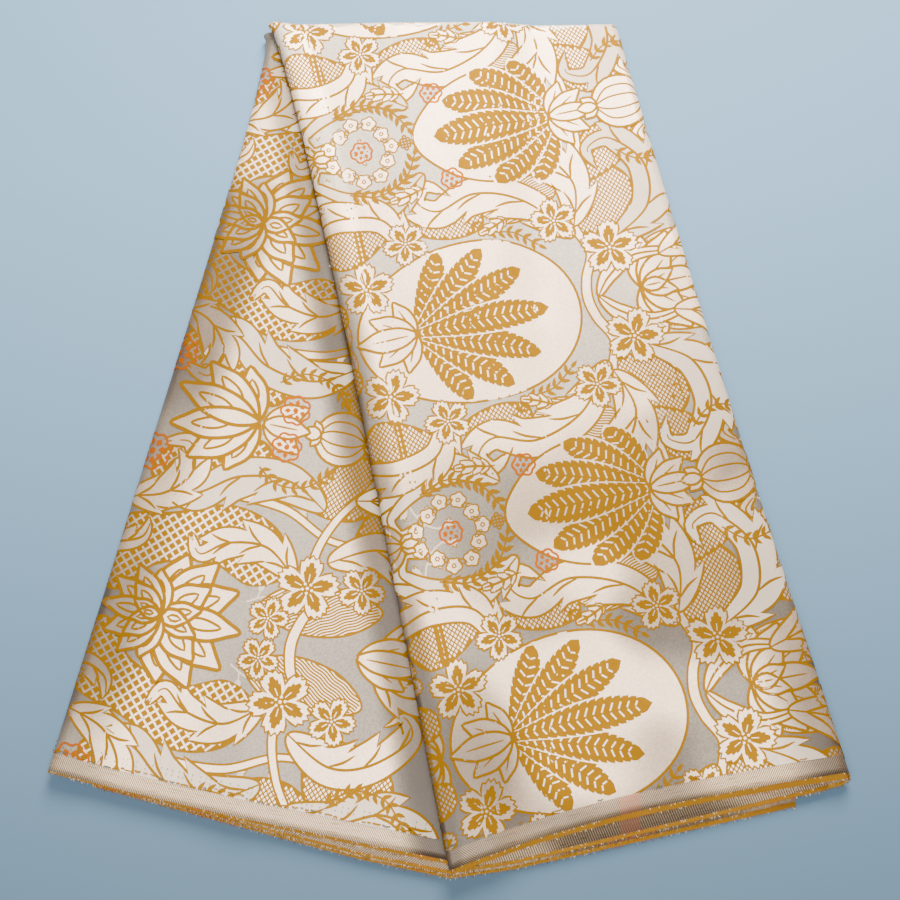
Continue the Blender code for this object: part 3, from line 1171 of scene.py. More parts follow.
class Layer:
    """One shape of the figure, with the marks that lie on it."""

    def __init__(self):
        self.fills = []
        self.lines = []
        self.level = 0

    def areas(self):
        """The closed outlines that tell whether the layer meets another one."""
        if self.fills and self.fills[0].rise == 0:
            return [self.fills[0].points]
        closed = [line for line in self.lines if line.closed]
        return [item.points for item in self.fills + closed]

    def samples(self):
        """Points of the closed outlines, or of the open lines where there is no outline."""
        areas = self.areas()
        if areas:
            return [p for area in areas for p in area[::2]]
        return [p for line in self.lines if not line.closed for p in line.points[::3]]

    def meets(self, other):
        a, b = (extent([p for item in x.fills + x.lines for p in item.points]) for x in (self, other))
        if a[0] > b[1] or b[0] > a[1] or a[2] > b[3] or b[2] > a[3]:
            return False
        for one, two in ((self, other), (other, self)):
            points = one.samples()
            if any(inside(p, area) for area in two.areas() for p in points):
                return True
        return False


class Drawing:
    """The figure of half a repeat, drawn flat in millimetres, each shape over those before it."""

    def __init__(self):
        self.layers = []

    def layer(self):
        self.layers.append(Layer())

    def fill(self, kind, points, rise=1):
        self.layers[-1].fills.append(Mark(kind, rise, points))

    def line(self, kind, points, width, taper=0.0, closed=False, rise=1):
        last = len(points) - 1
        widths = [width * (1 - taper * (2 * i / last - 1) ** 2) for i in range(last + 1)]
        self.layers[-1].lines.append(Mark(kind, rise, points, widths, closed))

    def shape(self, outline, edge=1.3, kind="white"):
        self.layer()
        self.fill(kind, outline, rise=0)
        if edge:
            self.line("gold", outline, edge, closed=True)

    def stack(self):
        """Lifts each layer over the earlier ones that it meets."""
        for i, layer in enumerate(self.layers):
            below = [other.level for other in self.layers[:i] if layer.meets(other)]
            layer.level = max(below, default=-1) + 1


def feather(drawing, pose, length, breadth, bend=0.0):
    """A long solid leaf with a toothed edge and pale veins, on a pale back."""
    pairs = max(5, round(length / 6.4))
    step = length * 0.94 / pairs

    def beside(i, along, out, side):
        f = (i + along) / pairs
        reach = breadth / 2 * math.sin(math.pi * (0.05 + 0.86 * f ** 1.3)) ** 0.75
        return (length * 0.94 * f + reach * 0.45 * out, bend * f * f + side * reach * out)

    teeth = ((0.0, 0.86), (0.25, 1.0), (0.85, 1.06))
    solid, back = {}, {}
    for side in (1, -1):
        solid[side] = [beside(i, along, out, side) for i in range(pairs) for along, out in teeth]
        back[side] = [beside(i, 0.5, 1.14, side) for i in range(pairs)]
    tip = (length * 1.04, bend)
    drawing.shape(placed(flowing([(-1.0, 0)] + back[1] + [tip] + back[-1][::-1], True, 5.0), pose), 0)
    drawing.fill("gold", placed([(0, 0)] + solid[1] + [(length, bend)] + solid[-1][::-1], pose))
    for i in range(1, pairs):
        for side in (1, -1):
            vein = [beside(i, 0.0, 0.08, side), beside(i, 0.1, 0.58, side)]
            drawing.line("white", placed(vein, pose), min(0.85, step * 0.14), rise=2)


def fan(drawing, pose, feathers):
    """Long leaves spread from one foot, each with an angle, a length, a breadth and a bend."""
    for angle, length, breadth, bend in feathers:
        feather(drawing, Pose(pose.u, pose.v, pose.angle + angle), length, breadth, bend)


def ring(count, radius, dip, sharp, each):
    """A closed outline of rounded petals about the origin."""
    found = []
    for i in range(count * each):
        angle = 2 * math.pi * i / (count * each)
        wave = abs(math.cos(count * angle / 2)) ** sharp
        r = radius * (1 - dip * (1 - wave))
        found.append((r * math.cos(angle), r * math.sin(angle)))
    return found


def circle(radius, steps=16):
    """A closed round outline about the origin."""
    angles = [2 * math.pi * i / steps for i in range(steps)]
    return [(radius * math.cos(angle), radius * math.sin(angle)) for angle in angles]


# One petal's edge and one arm of the heart: share of the petal's turn, and of the radius.
TOOTHED_PETAL = (
    (-0.48, 0.50), (-0.42, 0.72), (-0.32, 0.90), (-0.24, 0.86), (-0.15, 1.00), (-0.08, 0.91),
    (0.0, 1.03), (0.09, 0.90), (0.16, 0.98), (0.25, 0.85), (0.33, 0.88), (0.42, 0.70),
)
HEART_ARM = (
    (-0.50, 0.17), (-0.38, 0.36), (-0.31, 0.55), (-0.24, 0.53), (-0.20, 0.68), (-0.12, 0.66),
    (-0.06, 0.80), (0.06, 0.80), (0.12, 0.66), (0.20, 0.68), (0.24, 0.53), (0.31, 0.55), (0.38, 0.36),
)


def around(profile, count, radius):
    """A closed outline that repeats a profile of turns and reaches about the origin."""
    found = []
    for i in range(count):
        for turn, reach in profile:
            angle = 2 * math.pi * (i + turn) / count
            found.append((radius * reach * math.cos(angle), radius * reach * math.sin(angle)))
    return found


def blossom(drawing, pose, radius, petals=5):
    """An open flower of toothed petals with a solid star and a dotted heart."""
    drawing.shape(placed(around(TOOTHED_PETAL, petals, radius), pose), 1.2)
    drawing.fill("gold", placed(around(HEART_ARM, petals, radius), pose))
    for i in range(petals):
        turn = Pose(0, 0, 360 * i / petals)
        for side in (-13, 13):
            between = Pose(0, 0, 360 * (i + 0.5) / petals + side)
            gap = placed(placed([(0.22 * radius, 0), (0.48 * radius, 0)], between), pose)
            drawing.line("gold", gap, 0.7)
        ray = placed(placed([(0.20 * radius, 0), (0.44 * radius, 0)], turn), pose)
        drawing.line("white", ray, 0.5, rise=2)
        seed = Pose(*placed([(radius * 0.15, 0)], Pose(0, 0, 360 * (i + 0.5) / petals))[0])
        drawing.fill("white", placed(placed(circle(radius * 0.05, 5), seed), pose), rise=2)
    drawing.fill("white", placed(circle(radius * 0.055, 6), pose), rise=2)


def sized(points, length, width):
    """Points given as shares of a length and a width, at their real size."""
    return [(x * length, y * width) for x, y in points]


def both_sides(half, length, width):
    """A flowing closed outline from its upper half, given as shares of a length and a width."""
    return flowing(sized(half + [(x, -y) for x, y in half[-2::-1]], length, width), True, 3.0)


# Half of a petal's outline, and the almond that a bold one has in its middle.
HALF_PETAL = [(0, 0.10), (0.25, 0.42), (0.6, 0.46), (0.86, 0.20), (1.0, 0.0)]
ALMOND = [(0.30, 0.0), (0.44, 0.16), (0.60, 0.15), (0.76, 0.0), (0.60, -0.15), (0.44, -0.16)]
BOLD_EDGE = 1.7


def petal(drawing, pose, length, width, veins=1, edge=1.4):
    """A pointed petal with a gold edge."""
    drawing.shape(placed(both_sides(HALF_PETAL, length, width), pose), edge)
    if edge > BOLD_EDGE:
        almond = flowing(sized(ALMOND, length, width), True, 3.0)
        drawing.line("gold", placed(almond, pose), edge * 0.7, closed=True)
        return
    for i in range(veins):
        side = (i - (veins - 1) / 2) * width * 0.22
        vein = [(0.12 * length, side * 0.5), (0.45 * length, side), (0.74 * length, side * 0.8)]
        drawing.line("gold", placed(flowing(vein, spacing=3.0), pose), edge * 0.75, taper=0.6)


# Each petal's angle, and its length and width as shares of the flower's size, back to front.
LOTUS_PETALS = (
    (78, 0.80, 0.46), (-78, 0.80, 0.46), (54, 0.94, 0.46), (-54, 0.94, 0.46),
    (28, 1.0, 0.46), (-28, 1.0, 0.46), (40, 0.70, 0.40), (-40, 0.70, 0.40),
    (0, 1.02, 0.40), (18, 0.52, 0.26), (-18, 0.52, 0.26), (0, 0.36, 0.22),
)


def lotus(drawing, pose, size, edge=1.5):
    """A many-petalled flower seen from the side."""
    for angle, reach, width in LOTUS_PETALS:
        petal(drawing, Pose(pose.u, pose.v, pose.angle + angle), size * reach, size * width, 1, edge)


def direction(a, b):
    """The step of length 1 from one point towards another."""
    long = math.dist(a, b) or 1.0
    return (b[0] - a[0]) / long, (b[1] - a[1]) / long


def side_points(spine, profile):
    """The two edges of a leaf along its spine, the second one back to front."""
    edges = ([], [])
    last = len(spine) - 1
    for i, (x, y) in enumerate(spine):
        dx, dy = direction(spine[max(0, i - 1)], spine[min(last, i + 1)])
        for edge, side in zip(edges, (1, -1)):
            reach, push = profile(i / last, side)
            edge.append((x - dy * side * reach + dx * push, y + dx * side * reach + dy * push))
    return edges[0], edges[1][::-1]


def acanthus(
    drawing, spine, breadth, lobes, lobed=(1, 1), veins=True, edge=1.3, pose=Pose(0, 0), kind="white"
):
    """A scrolling leaf, lobed along its sides, with ribs."""
    line = flowing(spine, spacing=2.0)
    length = sum(math.dist(a, b) for a, b in zip(line, line[1:]))

    def profile(f, side):
        full = breadth / 2 * math.sin(math.pi * f ** 0.75) ** 0.75
        if not lobed[0 if side == 1 else 1]:
            return full * 0.62, 0.0
        saw = (f * lobes) % 1
        return full * (0.52 + 0.48 * saw ** 0.8), saw * saw * length / lobes * 0.35

    upper, lower = side_points(line, profile)
    drawing.shape(placed(upper + lower, pose), edge, kind)
    drawing.line("gold", placed(line[: round(len(line) * 0.94)], pose), 1.5, taper=0.5)
    if not veins:
        return
    for i in range(1, lobes):
        f = i / lobes
        at = round((len(line) - 1) * max(0, f - 0.55 / lobes))
        a = line[at]
        dx, dy = direction(a, line[min(len(line) - 1, at + 1)])
        for side, wanted in zip((1, -1), lobed):
            if not wanted:
                continue
            reach = profile(f - 0.02, side)[0] * 0.66
            on = length / lobes * 0.62
            vein = [
                (a[0] + dx * on * p - dy * side * reach * q, a[1] + dy * on * p + dx * side * reach * q)
                for p, q in ((0, 0), (0.6, 0.45), (1, 1))
            ]
            drawing.line("gold", placed(flowing(vein, spacing=3.0), pose), 1.5, taper=0.75)


def pale_acanthus(drawing, spine, breadth, lobes, lobed):
    """A scrolling leaf in pale floats."""
    acanthus(drawing, spine, breadth, lobes, lobed, kind="pale")


STEM_WIDTH = 8.0


def stem(drawing, points):
    """A pale stem with gold edges, which thins out to half its width."""
    line = flowing(points, spacing=2.4)
    upper, lower = side_points(line, lambda f, side: (STEM_WIDTH / 2 * (1 - 0.5 * f), 0.0))
    drawing.shape(upper + lower, 1.1)


def extent(outline):
    """The least and the most of u, then of v."""
    xs, ys = [p[0] for p in outline], [p[1] for p in outline]
    return min(xs), max(xs), min(ys), max(ys)


def stripes(drawing, outline, angle, pitch, width, wave=0.0, kind="gold"):
    """Fine lines across a closed outline."""
    turned = placed(outline, Pose(0, 0, -angle))
    left, right, low, high = extent(turned)
    steps = max(2, int((right - left) / 2.2))
    for i in range(int((high - low) / pitch)):
        run = []
        for j in range(steps + 1):
            x = mix(left, right, j / steps)
            here = (x, low + (i + 0.5) * pitch + wave * math.sin(x / 2.6))
            if inside(here, turned):
                run.append(here)
            elif run:
                break
        if len(run) > 1:
            drawing.line(kind, placed(run, Pose(0, 0, angle)), width)


def hatched(drawing, outline, angle, pitch=2.0):
    """A pale field with fine wavy lines."""
    outline = flowing(outline, True, 3.0)
    drawing.shape(outline, 1.2)
    stripes(drawing, outline, angle, pitch, 0.9, 0.5)


SCALE = ((-0.36, 0.0), (0.0, -0.52), (0.36, 0.0), (0.0, 0.52))


def scaled(drawing, outline, size=2.8, smooth_edge=True):
    """A gold field with rows of small pale scales."""
    outline = flowing(outline, True, 3.0) if smooth_edge else outline
    drawing.shape(outline, 1.0, "gold")
    left, right, low, high = extent(outline)
    for row in range(int((high - low) / size / 0.75) + 1):
        for column in range(int((right - left) / size / 1.3) + 1):
            x = left + (column + row % 2 / 2) * size * 1.3
            y = low + row * size * 0.75
            scale = [(x + a * size, y + b * size) for a, b in SCALE]
            if all(inside(corner, outline) for corner in scale):
                drawing.fill("white", scale)


HALF_POD = [(0, 0.12), (0.16, 0.40), (0.42, 0.52), (0.72, 0.40), (0.92, 0.16), (1.0, 0.0)]


def pod(drawing, pose, length, width):
    """A plump seed pod covered in scales."""
    scaled(drawing, placed(both_sides(HALF_POD, length, width), pose), smooth_edge=False)


def lattice(drawing, outline, pitch=5.2, width=1.05):
    """A gold field with pale crossed lines, which leave small gold squares."""
    outline = flowing(outline, True, 3.0)
    drawing.shape(outline, 1.4, "gold")
    for angle in (45, -45):
        stripes(drawing, outline, angle, pitch, width, kind="white")


SMALL_LEAF = ((0, 0), (0.3, 0.19), (0.65, 0.16), (1, 0), (0.65, -0.16), (0.3, -0.19))


def laurel(drawing, spine, leaf=9.0):
    """A thin branch with pairs of small solid leaves."""
    line = flowing(spine, spacing=3.2)
    drawing.layer()
    drawing.line("gold", line, 1.0)
    for i in range(1, len(line) - 1, 2):
        (x0, y0), (x1, y1) = line[i], line[i + 1]
        heading = math.degrees(math.atan2(y1 - y0, x1 - x0))
        for side in (1, -1):
            drawing.fill("gold", placed(SMALL_LEAF, Pose(x0, y0, heading + side * 44, leaf)))
    drawing.fill("gold", placed(SMALL_LEAF, Pose(*line[-1], heading, leaf)))


def cluster(drawing, pose, size=3.0):
    """Small round flowers set crosswise."""
    drawing.layer()
    for dx, dy in ((0, 0), (2, 0), (-2, 0), (0, 2), (0, -2), (1, 1), (1, -1), (-1, 1), (-1, -1)):
        at = Pose(*placed([(dx * size, dy * size)], pose)[0])
        drawing.line("gold", placed(circle(size * 0.55, 8), at), 0.9, closed=True)


# Each leaf of a bud: its angle, and its foot, length and width as shares of the bud's size.
BUD_LEAVES = (
    (-38, 0.86, 0.62, 0.42), (38, 0.86, 0.62, 0.42), (0, 0.86, 0.70, 0.42), (120, -0.8, 0.55, 0.34),
    (-120, -0.8, 0.55, 0.34), (160, -0.8, 0.55, 0.34), (-160, -0.8, 0.55, 0.34),
)


def bud(drawing, pose, size):
    """A round segmented fruit with a leafy collar."""
    drawing.shape(placed(circle(size, 26), pose), 1.5)
    for bend in (-0.62, -0.24, 0.24, 0.62):
        seam = [(-0.92, 0), (-0.4, bend * 0.92), (0.4, bend * 0.92), (0.92, 0)]
        seam = sized(seam, size, size)
        drawing.line("gold", placed(flowing(seam, spacing=3.0), pose), 1.1)
    for angle, x, long, wide in BUD_LEAVES:
        foot = placed([(x * size, 0)], pose)[0]
        petal(drawing, Pose(*foot, pose.angle + angle), size * long, size * wide, 0)


def rosette(drawing, pose, radius, petals=6):
    """A small copper rosette."""
    drawing.layer()
    drawing.line("copper", placed(ring(petals, radius, 0.22, 0.8, 5), pose), 1.2, closed=True)
    leaf = sized([(0.30, 0.0), (0.52, 0.17), (0.76, 0.0), (0.52, -0.17)], radius, radius)
    for i in range(petals):
        drawing.fill("copper", placed(placed(leaf, Pose(0, 0, 360 * i / petals)), pose))
    drawing.fill("copper", placed(circle(radius * 0.18, 8), pose))


def wreath(drawing, pose, radius, count, size=5.0):
    """A ring of small open flowers with leaves between."""
    leaf = [(-3.4, 0), (0, 1.6), (3.6, 0), (0, -1.6)]
    for i in range(count):
        angle = 360 * i / count
        wobble = radius * (1 + 0.10 * math.sin(2.4 * i))
        at = Pose(*placed([(wobble, 0)], Pose(0, 0, angle))[0], angle)
        drawing.shape(placed(placed(ring(5, size, 0.32, 0.6, 5), at), pose), 0.9)
        drawing.line("gold", placed(placed(circle(size * 0.24, 6), at), pose), 0.8, closed=True)
        off = Pose(*placed([(wobble * 0.93, 0)], Pose(0, 0, angle + 180 / count))[0], angle + 70)
        drawing.line("gold", flowing(placed(placed(leaf, off), pose), True, 2.5), 0.8, closed=True)


def spray(drawing, pose, length, kind="pale", flowers=6, size=2.2):
    """A thin spray with small round flowers."""
    line = [(0, 0), (length * 0.4, length * 0.12), (length * 0.8, 0.04 * length), (length, -0.08 * length)]
    line = flowing(line, spacing=3.0)
    drawing.layer()
    drawing.line(kind, placed(line, pose), 0.8)
    for i in range(flowers):
        at = line[round((i + 1) / flowers * (len(line) - 1))]
        side = 1 if i % 2 else -1
        end = (at[0] + length * 0.07, at[1] + side * (5 + i % 3))
        drawing.line(kind, placed([at, end], pose), 0.7)
        drawing.fill(kind, placed(placed(ring(5, size, 0.3, 0.6, 3), Pose(*end)), pose))


BELL = (
    (-1.2, 0.0), (-2.6, 3.2), (-3.4, 6.6), (-1.2, 5.6), (0.0, 7.2), (1.2, 5.6), (3.4, 6.6), (2.6, 3.2),
    (1.2, 0.0),
)


def bells(drawing, pose, length, count=4):
    """A drooping spray of bell flowers, pale on the ground, with small gold tips."""
    line = [(0, 0), (length * 0.35, length * 0.10), (length * 0.75, length * 0.06), (length, -length * 0.10)]
    line = flowing(line, spacing=3.0)
    drawing.layer()
    drawing.line("pale", placed(line, pose), 0.9)
    for i in range(count):
        at = line[round((i + 0.8) / count * (len(line) - 1))]
        side = -1 if i % 2 else 1
        foot = (at[0] + length * 0.05, at[1] + side * length * 0.13)
        drawing.line("pale", placed([at, foot], pose), 0.8)
        bell = [(x, side * y) for x, y in BELL]
        outline = placed(placed(bell, Pose(*foot, -12 * side)), pose)
        drawing.fill("pale", outline)
        drawing.line("gold", outline[1:4], 0.8, rise=2)
        drawing.line("gold", outline[5:8], 0.8, rise=2)


def mirrored(points, axis=300):
    """A half outline and its mirror image about v = 150, closed."""
    return points + [(u, axis - v) for u, v in points[-2:0:-1]]


def right_panel():
    """Half a repeat of the right panel."""
    d = Drawing()
    bells(d, Pose(30, 118, 60), 34, 4)
    spray(d, Pose(250, 112, 30), 36)
    # oval on the axis v = 0
    d.shape([(112 + 84 * x * (1 - 0.08 * x), 62 * y) for x, y in circle(1.0, 64)], 1.4)
    # fields behind the leaves
    scaled(d, [(200, 56), (232, 50), (250, 66), (248, 92), (226, 108), (204, 100)])
    scaled(d, [(84, 74), (110, 66), (132, 72), (128, 92), (104, 98), (86, 90)])
    hatched(d, [(150, 70), (180, 78), (196, 94), (180, 112), (146, 104), (128, 88)], 20)
    hatched(d, [(6, 92), (24, 84), (48, 90), (74, 104), (50, 116), (20, 116)], 160)
    scaled(d, [(20, 60), (44, 66), (66, 84), (78, 100), (60, 108), (30, 96), (8, 78)])
    scaled(d, [(210, 92), (240, 98), (262, 118), (262, 140), (236, 136), (214, 120)])
    scaled(d, [(262, 60), (284, 52), (306, 64), (310, 96), (286, 92), (268, 84)])
    hatched(d, [(240, 20), (268, 8), (296, 14), (300, 36), (276, 40), (250, 36)], 100)
    stem(d, [(199, -16), (196, 0), (199, 16), (207, 36), (200, 60), (206, 92), (218, 118), (222, 158)])
    lotus(d, Pose(12, 0, 180), 36)
    lotus(d, Pose(238, 0, 0), 50)
    acanthus(d, [(204, 0), (216, 14), (238, 26), (266, 22)], 18, 3, (1, 0), veins=False)
    acanthus(d, [(316, 112), (296, 120), (276, 110), (266, 120), (276, 130)], 26, 4, (1, 0))
    acanthus(d, [(256, 22), (292, 36), (308, 66), (302, 98), (286, 102)], 38, 4, (1, 1))
    pale_acanthus(d, [(226, 42), (258, 62), (264, 96), (244, 122), (226, 118), (228, 106)], 42, 5, (0, 1))
    acanthus(d, [(200, 58), (208, 92), (188, 122), (156, 130), (140, 120), (146, 110)], 42, 5, (1, 1))
    spine = [(198, 50), (170, 84), (132, 98), (102, 90), (88, 100), (96, 110), (106, 104)]
    acanthus(d, spine, 44, 5, (1, 0))
    pale_acanthus(d, [(98, 122), (72, 106), (38, 110), (14, 128), (20, 142), (30, 138)], 34, 5, (1, 0))
    acanthus(d, [(74, 60), (60, 92), (30, 100), (4, 92), (-6, 78), (4, 72)], 36, 5, (0, 1))
    pod(d, Pose(16, 18, 140), 30, 22)
    fan(d, Pose(62, 0), ((56, 66, 19, 6), (-56, 66, 19, -6), (36, 84, 20, 6), (-36, 84, 20, -6)))
    fan(d, Pose(62, 0), ((18, 96, 21, 4), (-18, 96, 21, -4), (0, 104, 22, 0)))
    for angle, long, wide in ((112, 30, 14), (-112, 30, 14), (150, 36, 17), (-150, 36, 17), (180, 44, 18)):
        petal(d, Pose(64, 0, angle), long, wide)
    for u, v, angle, radius in (
        (-2, 56, 50, 15), (36, 42, 10, 21), (72, 70, 40, 17), (186, 66, 20, 18), (222, 36, 80, 22),
        (294, 20, 50, 17),
    ):
        blossom(d, Pose(u, v, angle), radius)
    # the axis v = 150
    oval = [(214, 150), (198, 116), (160, 104), (128, 112), (104, 132), (96, 150)]
    d.shape(flowing(mirrored(oval), True), 1.4)
    laurel(d, [(40, 118), (62, 112), (84, 122), (94, 138)])
    laurel(d, [(122, 76), (136, 66), (154, 62), (170, 50)], 8.0)
    laurel(d, [(246, 112), (262, 100), (282, 104), (296, 118)], 8.0)
    wreath(d, Pose(56, 150), 23, 11, 6.0)
    fan(d, Pose(208, 150, 180), ((68, 56, 20, -4), (44, 74, 22, -6), (22, 88, 23, -5), (0, 96, 25, 0)))
    for angle in (64, -64, 32, -32, 0):
        petal(d, Pose(204, 150, angle), 36 - abs(angle) * 0.1, 15)
    pod(d, Pose(316, 150, 180), 30, 26)
    bud(d, Pose(260, 150, 180), 22)
    bud(d, Pose(4, 150, 0), 18)
    cluster(d, Pose(90, 150), 2.4)
    rosette(d, Pose(118, 114, 10), 8.5)
    rosette(d, Pose(56, 150, 10), 8.5)
    acanthus(d, [(0, 0), (13, 1), (26, 0)], 15, 4, edge=1.1, pose=Pose(94, 110, 190))
    acanthus(d, [(0, 0), (12, 1), (24, 0)], 14, 4, edge=1.1, pose=Pose(150, 74, 200))
    return d


def left_panel():
    """Half a repeat of the left panel."""
    d = Drawing()
    bells(d, Pose(214, 150, 330), 44, 5)
    bells(d, Pose(116, 96, 0), 46, 5)
    bells(d, Pose(110, 22, 10), 40, 4)
    spray(d, Pose(60, 128, 20), 40)
    # large flower of the axis v = 0
    field = [(16, 10), (40, 34), (78, 44), (110, 34), (134, 48), (120, 76), (84, 86), (44, 72), (6, 60)]
    lattice(d, field + [(-10, 30)])
    hatched(d, [(120, 20), (150, 8), (186, 14), (206, 34), (176, 44), (140, 40)], 30)
    scaled(d, [(176, 70), (206, 58), (236, 74), (240, 104), (214, 122), (186, 110)])
    scaled(d, [(60, 100), (92, 92), (120, 104), (112, 124), (84, 130), (60, 120)])
    scaled(d, [(140, 96), (168, 92), (190, 108), (196, 132), (170, 140), (146, 124)])
    lattice(d, [(22, 96), (50, 88), (80, 98), (104, 118), (96, 136), (66, 132), (34, 122)])
    stem(d, [(26, 70), (70, 92), (120, 92), (160, 76), (204, 78)])
    stem(d, [(151, -16), (148, 0), (151, 16), (158, 34), (150, 60), (160, 92), (180, 122), (192, 158)])
    pale_acanthus(d, [(150, 96), (120, 112), (84, 108), (56, 90), (38, 100), (44, 112)], 44, 5, (1, 0))
    acanthus(d, [(160, 60), (192, 76), (220, 70), (244, 48), (238, 34), (228, 38)], 42, 5, (0, 1))
    pale_acanthus(d, [(170, 108), (204, 112), (236, 100), (262, 108), (268, 124), (256, 128)], 38, 5, (1, 1))
    acanthus(d, [(140, 44), (116, 62), (88, 60), (70, 48), (62, 56)], 34, 4, (1, 1))
    acanthus(d, [(8, 76), (34, 84), (50, 104), (44, 124), (30, 122)], 34, 4, (1, 1))
    acanthus(d, [(-6, 50), (10, 44), (26, 50), (30, 62)], 24, 3, (1, 0))
    acanthus(d, [(210, 10), (232, 20), (262, 18), (286, 32), (282, 44)], 32, 4, (1, 1))
    lotus(d, Pose(52, 0, 0), 58, 2.0)
    lotus(d, Pose(52, 0, 180), 40, 1.8)
    for u, v, angle, radius in ((150, 40, 20, 23), (188, 46, 70, 17), (128, 14, 10, 15)):
        blossom(d, Pose(u, v, angle), radius)
    for angle, long, wide in ((24, 40, 17), (-24, 40, 17), (0, 50, 18)):
        petal(d, Pose(196, 0, angle), long, wide)
    # tulip of the axis v = 150
    for angle, long, wide in ((70, 42, 22), (40, 56, 25), (14, 62, 24)):
        for side in (1, -1):
            petal(d, Pose(86, 150, 180 + side * angle), long, wide, 1, 2.0)
    for angle in (150, 210, 180):
        petal(d, Pose(92, 150, angle + 180), 34, 17)
    bud(d, Pose(150, 150, 0), 20)
    fan(d, Pose(182, 150, 0), ((46, 64, 20, 5), (20, 76, 22, 4), (0, 82, 22, 0)))
    laurel(d, [(196, 100), (214, 88), (236, 90), (250, 104)], 8.0)
    laurel(d, [(96, 118), (112, 108), (132, 110), (146, 122)], 8.0)
    rosette(d, Pose(18, 112, 15), 14, 8)
    rosette(d, Pose(112, 136, 15), 11, 7)
    spray(d, Pose(-14, 90, 60), 34, "grey", 6, 2.0)
    spray(d, Pose(2, 130, 80), 28, "grey", 5, 2.0)
    spray(d, Pose(6, 24, 150), 26, "pale", 5, 2.0)
    return d


def satin_material(colour):
    """The bright satin floats of the figure."""
    shader = Shader("bright satin figure", colour, 0.40, Metallic=0.2)
    _, along, _ = shader.weave_place()
    satin = shader.mixed(shader.grain(FIGURE_CLOUDS), rgba(colour, 0.82), rgba(colour, 1.10))
    # Painted shade of the folds and billows over the satin floats.
    shader.feed("Base Color", shader.shaded(satin))
    shader.bumped(along.ribs(SATIN_PITCH), 0.0001, 0.25)
    return shader.material


def thread_material(name, colour):
    """Coloured weft floats, a little uneven from thread to thread."""
    shader = Shader(name, colour, 0.42, Metallic=0.10, Specular_IOR_Level=0.0)
    place, along, up = shader.weave_place()
    twill = (along * 0.7 + up).ribs(FLOAT_PITCH)
    clouds = shader.noise(place, 160.0, 3.0)
    tone = (twill * 0.35 + clouds * 0.75).clamped()
    threads = shader.mixed(tone, rgba(colour, 0.80), rgba(colour, 1.18))
    # Painted shade of the folds and billows, in which the thread keeps part of its own colour.
    shader.feed("Base Color", shader.shaded(threads, rgba(colour, THREAD_KEEPS_IN_SHADE)[:3]))
    shader.bumped(twill, 0.0001, 0.4)
    return shader.material


PANEL_DRAWINGS = {"right": right_panel, "left": left_panel}


# The band's broken line: the level that it lies on, how far it is from the selvedge, and the
# rows of dark dots beyond it at the left, in millimetres.
BAND_LEVEL = 27
BAND_LINE = 13.4
DOT_ROWS = (17.2, 20.4)


def band_marks(panel):
    """The broken line of gold and dark threads where the figure ends at the twill band."""
    drawing = Drawing()
    drawing.layer()
    drawing.layers[0].level = BAND_LEVEL
    chance = random.Random(5)
    u, end = panel.marks
    while u < end:
        long = chance.uniform(1.5, 6.0)
        v = BAND_LINE + 1.1 * math.sin(u / 9.0) + chance.uniform(-0.5, 0.5)
        run = [(u, v), (u + long / 2, v + chance.uniform(-0.8, 0.8)), (u + long, v)]
        drawing.line(chance.choice(("gold", "gold", "grey")), run, chance.uniform(0.5, 0.9), rise=1)
        if panel.name == "left":
            for row in DOT_ROWS:
                drawing.line("grey", [(u, row), (u + 0.7, row)], 0.5, rise=1)
        u += long + chance.uniform(0.3, panel.gap)
    return drawing


class BROCADE_OT_figure(Operator):
    """Weaves the figure of flowers and leaves over the two panels that show."""

    bl_idname = "brocade.figure"
    bl_label = "Woven figure"

    def execute(self, context):
        cloth = context.scene.brocade_cloth
        figure = context.scene.brocade_figure
        mesh = figure_mesh(cloth)
        satin = satin_material(figure.white)
        for panel in FIGURE_PANELS:
            figure_piece(f"satin_figure_{panel.name}", "white", mesh, satin, panel.name)
        for name, kind, colour in (
            ("gold_figure", "gold", figure.gold),
            ("copper_rosettes", "copper", figure.copper),
            ("grey_sprigs", "grey", figure.grey),
            ("pale_leaves", "pale", figure.pale),
        ):
            figure_piece(name, kind, mesh, thread_material(f"{kind} floats", colour))
        bpy.data.meshes.remove(mesh)
        return {"FINISHED"}


# Where copper threads come loose along the selvedges, in metres across the cloth.
COPPER_STRETCHES = (
    (-0.243, -0.208), (-0.180, -0.146), (-0.030, -0.008), (0.108, 0.146), (0.205, 0.243),
)
LOOP_SPACING = 0.0021
THREAD_RADIUS = 0.00019
LEAST_THREAD_HEIGHT = 0.0003


def loose_threads(cloth, colour):
    """Short threads and loops that come loose along the selvedges of both plies, of one colour."""
    table = folded_rows(cloth)[0]
    chance = random.Random(9)
    settle = BASE_SHIFT + Vector((0, 0, (cloth.cloth_thickness - PACKED_THICKNESS) / 2))
    threads = bpy.data.curves.new("loose threads", "CURVE")
    threads.dimensions = "3D"
    threads.bevel_depth = THREAD_RADIUS
    threads.bevel_resolution = 0
    for edge, inner in ((table[0], table[1]), (table[-1], table[-2])):
        for a, b, within in zip(edge, edge[1:], inner):
            out = (a - within).normalized()
            count = max(1, round((b - a).length / LOOP_SPACING))
            for i in range(count):
                foot = a.lerp(b, (i + chance.random()) / count) + settle
                coppery = any(low < foot.x < high for low, high in COPPER_STRETCHES)
                copper = coppery and chance.random() < 0.6
                kind = "copper" if copper else chance.choice(("cream", "gold", "gold"))
                along = (b - a).normalized() * chance.uniform(-0.0014, 0.0018)
                reach = out * chance.uniform(0.0005, 0.0017)
                rise = Vector((0, 0, chance.uniform(-0.0003, 0.0006)))
                back = out * (0.0 if chance.random() < 0.6 else 0.0012)
                if kind != colour:
                    continue
                spline = threads.splines.new("POLY")
                spline.points.add(2)
                places = (foot, foot + along / 2 + reach + rise, foot + along + back)
                for point, place in zip(spline.points, places):
                    point.co = (place.x, place.y, max(place.z, LEAST_THREAD_HEIGHT), 1.0)
    return threads


